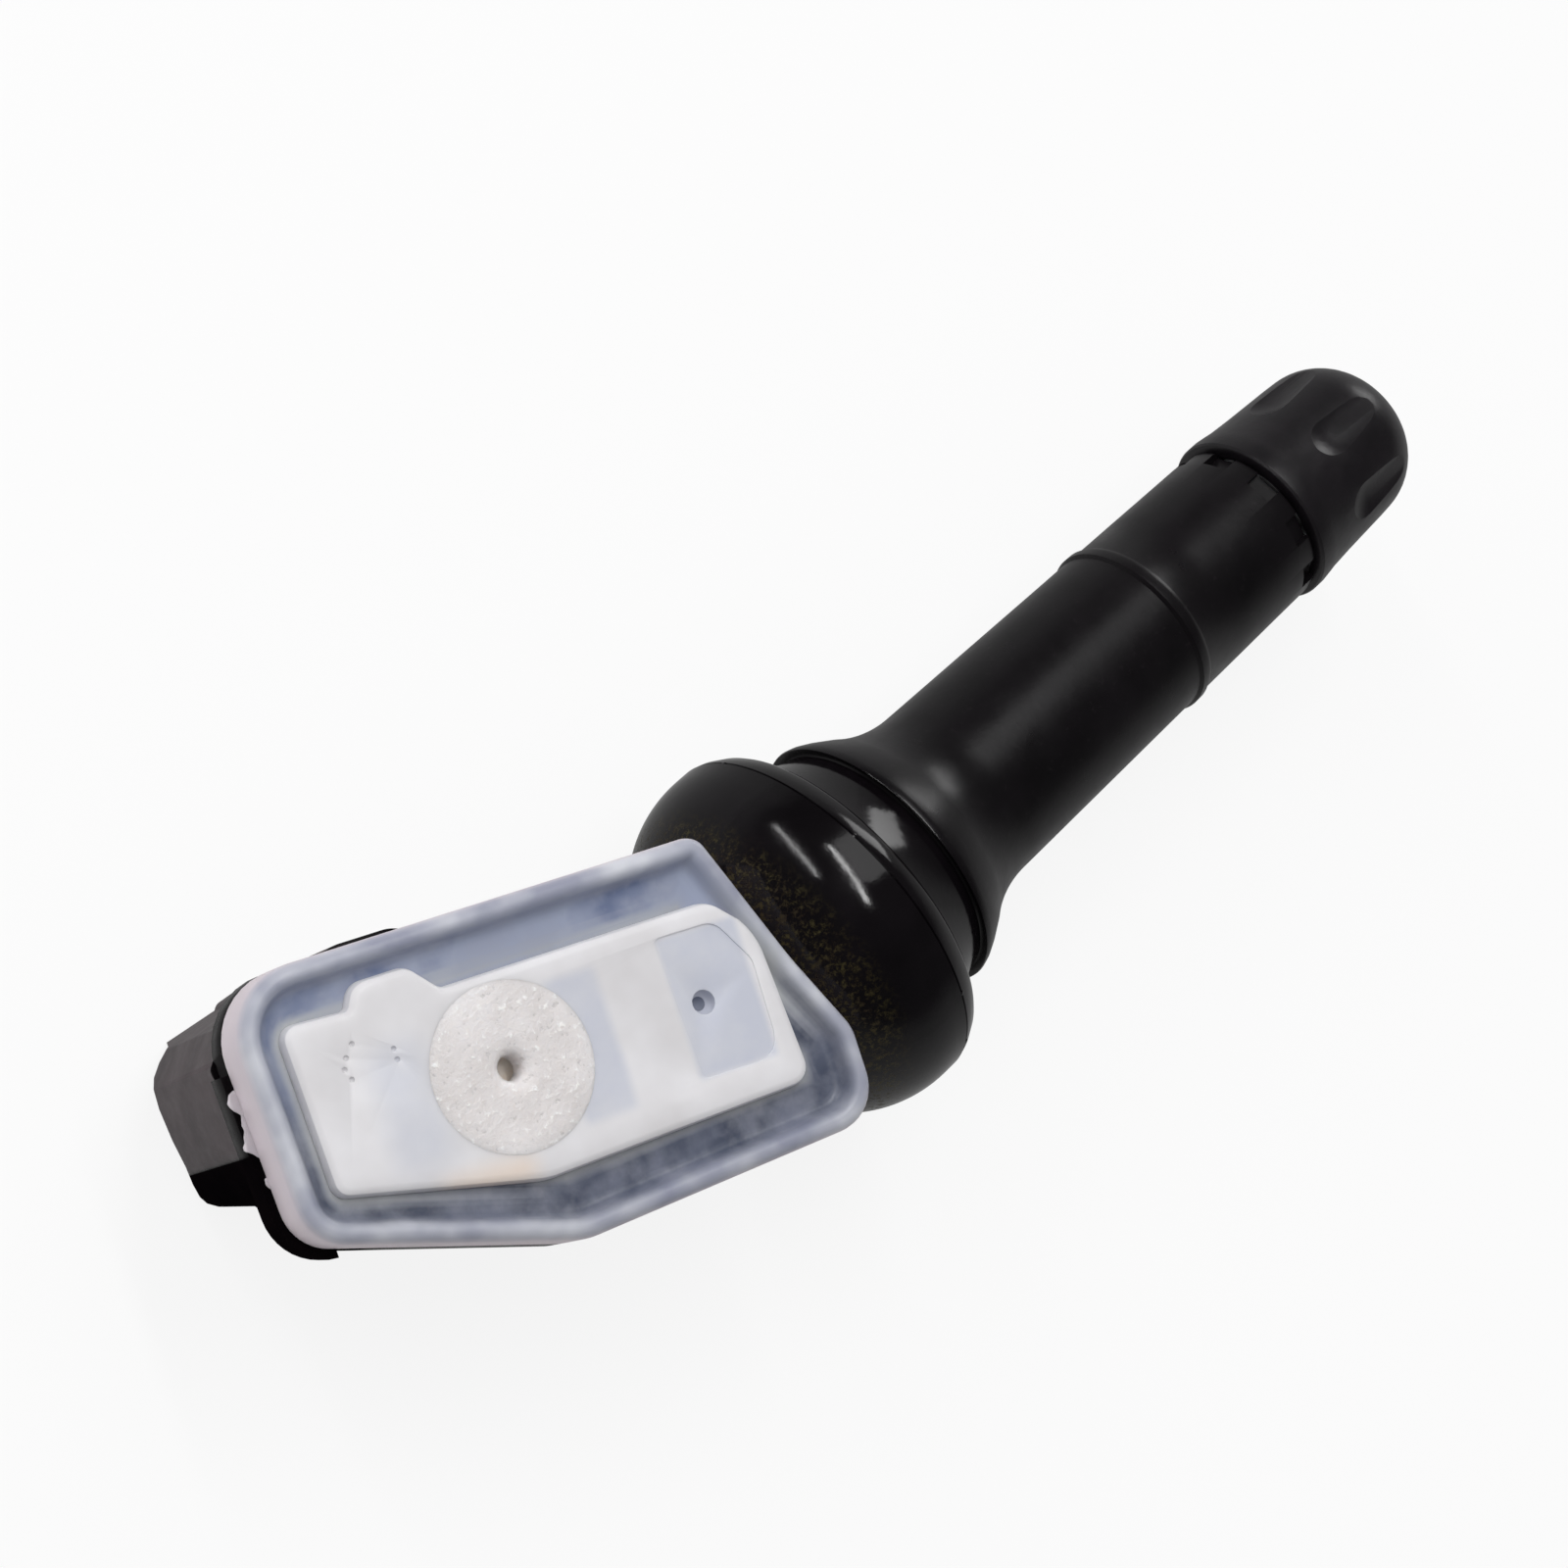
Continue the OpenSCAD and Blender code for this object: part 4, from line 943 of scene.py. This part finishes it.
# %% Cover finish
def milky_finish(name, white, edge, bands=False):
    finish = Finish(name)
    slow = finish.noise(210.0, 3.0)
    wave = finish.noise(520.0, 4.0)
    base = finish.mix(finish.ranged(slow, 0.35, 0.65), white, edge)
    if bands:
        uneven = finish.ranged(wave, 0.3, 0.75, 0.6, 1.2)
        deep = finish.maths("MULTIPLY", finish.stored("band"), uneven)
        # Painted light and shade: the band's blue-grey is lighter on its upper side and darker on its lower side,
        # where less light falls.
        band_lit_side = finish.mix(finish.ranged(slow, 0.4, 0.6), screen(104, 116, 148), screen(152, 160, 182))
        band_shaded_side = finish.mix(finish.ranged(slow, 0.4, 0.6), screen(48, 56, 78), screen(80, 87, 106))
        across = house_places(finish)[1]
        core = finish.mix(finish.ranged(across, -3.0, 5.0, smooth=True), band_shaded_side, band_lit_side)
        # Painted shade: the band turns greyer at the foot of the island.
        inner = finish.maths("MULTIPLY", finish.stored("inner"), 0.6)
        base = finish.mix(inner, base, screen(172, 174, 170))
        base = finish.mix(finish.ranged(deep, 0.0, 1.0), base, core)
        base = finish.mix(finish.stored("skirt"), base, screen(230, 219, 226))
    finish.colour(base)
    finish.roughness(finish.ranged(wave, 0.3, 0.7, 0.3, 0.42))
    finish.bump(finish.noise(1500.0, 3.0), 0.1, 0.00004)
    finish.set(Subsurface_Weight=0.35, Subsurface_Radius=(1.0, 1.0, 1.1), Subsurface_Scale=0.0005, IOR=1.5)
    return finish.material


wear(cover, milky_finish("cover_milky", screen(206, 208, 215), screen(150, 153, 170), bands=True))
wear(cover_flash, milky_finish("flash_milky", screen(232, 222, 226), screen(214, 206, 214)))


# %% [markdown]
# The island is the thickest part, so it is nearly white. Where it is thinner it looks bluer:
# in the recess, beside the port and beyond it. A mask with soft edges, worked out from the place
# on the housing, tints these areas. The disc round the port is creamy, and its sparkle is
# painted: bright specks in its colour stand for glints.

# %% Island and disc finishes
def patch(finish, p0, p1, q0, q1, soft):
    """A mask with soft edges: one inside a rectangle of the housing, and nought outside."""
    p, q = house_places(finish)
    mask = finish.ranged(p, p0 - soft, p0 + soft, smooth=True)
    for value, low, high in ((p, p1 + soft, p1 - soft), (q, q0 - soft, q0 + soft), (q, q1 + soft, q1 - soft)):
        mask = finish.maths("MULTIPLY", mask, finish.ranged(value, low, high, smooth=True))
    return mask


def island_finish():
    finish = Finish("island_milky")
    slow = finish.noise(180.0, 3.0)
    base = finish.mix(finish.ranged(slow, 0.35, 0.65), screen(232, 231, 234), screen(218, 216, 218))
    blue = finish.mix(finish.ranged(finish.noise(300.0), 0.35, 0.65), screen(196, 200, 214), screen(208, 210, 218))
    for place, soft, share, tint in [
        ((-7.9, -3.7, -3.4, 3.4), 0.25, 0.85, blue), ((-14.0, -11.3, -3.6, 3.2), 0.35, 0.75, blue),
        ((-23.2, -20.4, -3.2, 2.6), 1.0, 0.6, blue),
        ((-21.6, -17.0, -5.2, -3.9), 0.8, 0.5, screen(240, 214, 188)),
    ]:
        base = finish.mix(finish.maths("MULTIPLY", patch(finish, *place, soft), share), base, tint)
    finish.colour(base)
    finish.roughness(finish.ranged(finish.noise(800.0), 0.3, 0.7, 0.32, 0.46))
    finish.bump(finish.noise(1300.0, 3.0), 0.1, 0.00004)
    finish.set(Subsurface_Weight=0.4, Subsurface_Radius=(1.0, 1.0, 1.0), Subsurface_Scale=0.0006, IOR=1.5)
    return finish.material


def disc_finish():
    finish = Finish("disc_milky")
    grain = finish.noise(2400.0, 4.0, 0.65)
    slow = finish.noise(300.0, 3.0)
    cream = finish.mix(finish.ranged(slow, 0.35, 0.65), screen(234, 230, 230), screen(220, 215, 214))
    # Painted glints: near-white specks in the colour stand for the disc's sparkle.
    sparkle_glints = finish.mix(finish.ranged(grain, 0.58, 0.66, 0.0, 0.8), cream, screen(254, 253, 252))
    finish.colour(finish.mix(finish.ranged(grain, 0.4, 0.32, 0.0, 0.45), sparkle_glints, screen(172, 168, 167)))
    finish.roughness(finish.ranged(grain, 0.3, 0.7, 0.45, 0.22))
    finish.bump(grain, 0.7, 0.00012)
    finish.set(Subsurface_Weight=0.4, Subsurface_Radius=(1.1, 1.0, 0.9), Subsurface_Scale=0.0006, IOR=1.5)
    return finish.material


wear(island, island_finish())
wear(disc, disc_finish())

# %% [markdown]
# ## Metals and the pieces inside
# Turned metal has fine rings across its axis, so its pattern is stretched: very fine along X
# and coarse across. The pieces inside the housing are mostly out of sight, but each keeps a
# finish of its own, so that a cut through the model still reads.

# %% Metal and inner finishes
def metal_finish(name, dark, light, stretch=(6000.0, 300.0, 300.0)):
    finish = Finish(name)
    rings = finish.noise(1.0, 3.0, 0.6, stretch=stretch)
    finish.colour(finish.mix(finish.ranged(finish.noise(400.0), 0.3, 0.7), dark, light))
    finish.roughness(finish.ranged(rings, 0.3, 0.7, 0.25, 0.4))
    finish.bump(rings, 0.15, 0.00002)
    finish.set(Metallic=1.0)
    return finish.material


alloy = metal_finish("alloy_turned", screen(186, 187, 190), screen(206, 207, 210))
brass = metal_finish("brass_turned", screen(190, 150, 84), screen(214, 178, 108))
steel = metal_finish("steel_plated", screen(160, 162, 166), screen(190, 191, 194))
wear(stem, alloy)
wear(thread, alloy)
inner_finishes = {
    "core_body": brass, "core_pin": brass, "core_cup": brass, "core_spring": steel,
    "retaining_screw": steel,
    "battery_cell": metal_finish(
        "cell_can", screen(184, 186, 188), screen(204, 205, 206), stretch=(900.0, 900.0, 900.0)
    ),
    "battery_tab_top": steel, "battery_tab_bottom": steel, "crystal": steel,
    "antenna": metal_finish("copper_wire", screen(196, 120, 76), screen(214, 146, 98)),
    "core_barrel_seal": plain_finish("seal_red", screen(150, 52, 34), screen(176, 70, 48)),
    "core_cup_seal": plain_finish("soft_black", screen(20, 20, 20), screen(34, 33, 33), rough=(0.5, 0.7)),
    "cap_seal": plain_finish("seal_black", screen(24, 24, 24), screen(38, 37, 37), rough=(0.5, 0.7)),
    "circuit_board": plain_finish("board_green", screen(22, 78, 48), screen(30, 98, 60), rough=(0.3, 0.4)),
    "sensor_chip": plain_finish("chip_body", screen(28, 28, 30), screen(42, 42, 44)),
    "port_gasket": plain_finish("gasket_cream", screen(206, 196, 176), screen(222, 212, 194), rough=(0.5, 0.7)),
    "port_filter": plain_finish(
        "filter_beige", screen(250, 236, 220), screen(255, 248, 238), rough=(0.6, 0.8), scale=2200.0
    ),
    "lf_coil": plain_finish("ferrite_dark", screen(50, 42, 38), screen(70, 58, 50)),
    "capacitors": plain_finish("ceramic_tan", screen(140, 118, 90), screen(166, 142, 112)),
    "potting": plain_finish("compound_black", screen(24, 24, 28), screen(38, 38, 42), rough=(0.2, 0.35)),
}
for node, material in inner_finishes.items():
    wear(nodes[node], material)
print("finishes for the inner pieces:", len(inner_finishes))

# %% [markdown]
# ## Floor, light and camera
# The photograph is a product shot: white paper, soft light from the upper left, hardly any
# shadow. The floor is plain white for the camera, and dimmer in reflections, but keeps part of
# its own shading, so that the faint shadow stays. The camera is the one that the outline of the
# real object was fitted with: a long lens, 63 degrees above the ground and rolled.

# %% Camera
RIGHT = Vector((0.67200323, -0.61402766, 0.41398272))
BACK = Vector((-0.42960206, 0.13210786, 0.89330263))
camera_data = bpy.data.cameras.new("photo_camera")
camera = bpy.data.objects.new("photo_camera", camera_data)
bpy.context.scene.collection.objects.link(camera)
BACK.normalize()
RIGHT = (RIGHT - BACK * RIGHT.dot(BACK)).normalized()
UP = BACK.cross(RIGHT)
camera.matrix_world = Matrix((
    (RIGHT.x, UP.x, BACK.x, 0), (RIGHT.y, UP.y, BACK.y, 0), (RIGHT.z, UP.z, BACK.z, 0), (0, 0, 0, 1),
))
camera.location = on_stem(-85.49931, 32.1944, 175.37808)
camera_data.lens, camera_data.sensor_width = 90.0, 36.0
camera_data.clip_start, camera_data.clip_end = 0.01, 10.0
bpy.context.scene.camera = camera
print("camera at", [round(v * 1000, 1) for v in camera.location])


# %% Floor
PAPER, GLOW_SHARE, GLOW_IN_MIRRORS = 0.86, 0.86, 0.3


def white_floor():
    clear_selection()
    bpy.ops.mesh.primitive_plane_add(size=4.0, location=(0, 0, -0.00005))
    floor = bpy.context.object
    floor.name = "paper_floor"
    material = bpy.data.materials.new("paper_white")
    material.use_nodes = True
    tree = material.node_tree
    new, link = tree.nodes.new, tree.links.new
    shader = tree.nodes["Principled BSDF"]
    shader.inputs["Base Color"].default_value = (PAPER, PAPER, PAPER, 1)
    shader.inputs["Roughness"].default_value = 0.9
    shader.inputs["Specular IOR Level"].default_value = 0.0
    glow = new("ShaderNodeEmission")
    path = new("ShaderNodeLightPath")
    strength = new("ShaderNodeMapRange")
    strength.inputs["To Min"].default_value = GLOW_IN_MIRRORS
    link(path.outputs["Is Camera Ray"], strength.inputs["Value"])
    link(strength.outputs["Result"], glow.inputs["Strength"])
    seen = new("ShaderNodeMath")
    seen.operation = "MAXIMUM"
    link(path.outputs["Is Camera Ray"], seen.inputs[0])
    link(path.outputs["Is Glossy Ray"], seen.inputs[1])
    share = new("ShaderNodeMath")
    share.operation = "MULTIPLY"
    share.inputs[1].default_value = GLOW_SHARE
    link(seen.outputs[0], share.inputs[0])
    mix = new("ShaderNodeMixShader")
    link(share.outputs[0], mix.inputs[0])
    link(shader.outputs[0], mix.inputs[1])
    link(glow.outputs[0], mix.inputs[2])
    link(mix.outputs[0], tree.nodes["Material Output"].inputs["Surface"])
    floor.data.materials.append(material)


white_floor()


# %% [markdown]
# The mirror images on the bulb tell where the lamps were: two long narrow tubes and a dim panel
# above the camera give the streaks, and a small card low beyond the valve gives the grey patch
# on the neck. The even light on the paper and the cover comes from two wide lamps that mirrors
# don't show, as a tent of white cloth would.

# %% Lamps
def lamp(name, direction, along, distance, width, length, watts, mirrored=True):
    """A rectangular lamp that faces the object. Directions are right, up and back of the camera."""
    toward = (RIGHT * direction[0] + UP * direction[1] + BACK * direction[2]).normalized()
    long_side = RIGHT * along[0] + UP * along[1] + BACK * along[2]
    long_side = (long_side - toward * long_side.dot(toward)).normalized()
    across = long_side.cross(toward)
    data = bpy.data.lights.new(name, "AREA")
    data.shape = "RECTANGLE"
    data.size, data.size_y, data.energy = width, length, watts
    piece = bpy.data.objects.new(name, data)
    bpy.context.scene.collection.objects.link(piece)
    piece.matrix_world = Matrix((
        (across.x, long_side.x, toward.x, toward.x * distance),
        (across.y, long_side.y, toward.y, toward.y * distance),
        (across.z, long_side.z, toward.z, toward.z * distance), (0, 0, 0, 1),
    ))
    piece.visible_glossy = mirrored


lamp("left_tube", (-0.2, 0.65, 0.72), (0.33, -0.41, 0.47), 0.6, 0.026, 0.44, 0.55)
lamp("right_tube", (0.35, 0.5, 0.78), (0.35, -0.56, 0.2), 0.6, 0.034, 0.42, 1.1)
lamp("dim_panel", (0.44, 0.64, 0.62), (0.35, -0.56, 0.2), 0.6, 0.14, 0.3, 0.3)
lamp("low_card", (0.6, 0.76, -0.2), (0.3, -0.3, -0.2), 0.6, 0.16, 0.2, 0.42)
lamp("soft_left", (-0.55, 0.6, 0.75), (0, 1, 0), 0.6, 0.4, 0.4, 0.65, mirrored=False)
lamp("soft_top", (0.1, 0.2, 1.0), (0, 1, 0), 0.8, 0.5, 0.5, 0.45, mirrored=False)

# %% [markdown]
# The room is an even grey for matte surfaces. Mirror-like ones see it darker overhead, where the
# photographer stood, and white near the ground, where the paper curves up behind the object.

# %% Room
ROOM, OVERHEAD, HORIZON = 0.33, 0.07, 0.3


def room_light():
    world = bpy.data.worlds.new("room")
    bpy.context.scene.world = world
    world.use_nodes = True
    tree = world.node_tree
    new, link = tree.nodes.new, tree.links.new
    background = tree.nodes["Background"]
    background.inputs["Color"].default_value = (1.0, 1.0, 1.0, 1)
    direction = new("ShaderNodeSeparateXYZ")
    link(new("ShaderNodeTexCoord").outputs["Generated"], direction.inputs[0])
    mirrored = new("ShaderNodeMapRange")
    mirrored.interpolation_type = "SMOOTHSTEP"
    for key, number in (("From Min", 0.35), ("From Max", 0.05), ("To Min", OVERHEAD), ("To Max", HORIZON)):
        mirrored.inputs[key].default_value = number
    link(direction.outputs["Z"], mirrored.inputs["Value"])
    choose = new("ShaderNodeMix")
    choose.inputs[2].default_value = ROOM
    link(new("ShaderNodeLightPath").outputs["Is Glossy Ray"], choose.inputs[0])
    link(mirrored.outputs["Result"], choose.inputs[3])
    link(choose.outputs[0], background.inputs["Strength"])


room_light()
bpy.context.scene.view_settings.view_transform = "Standard"
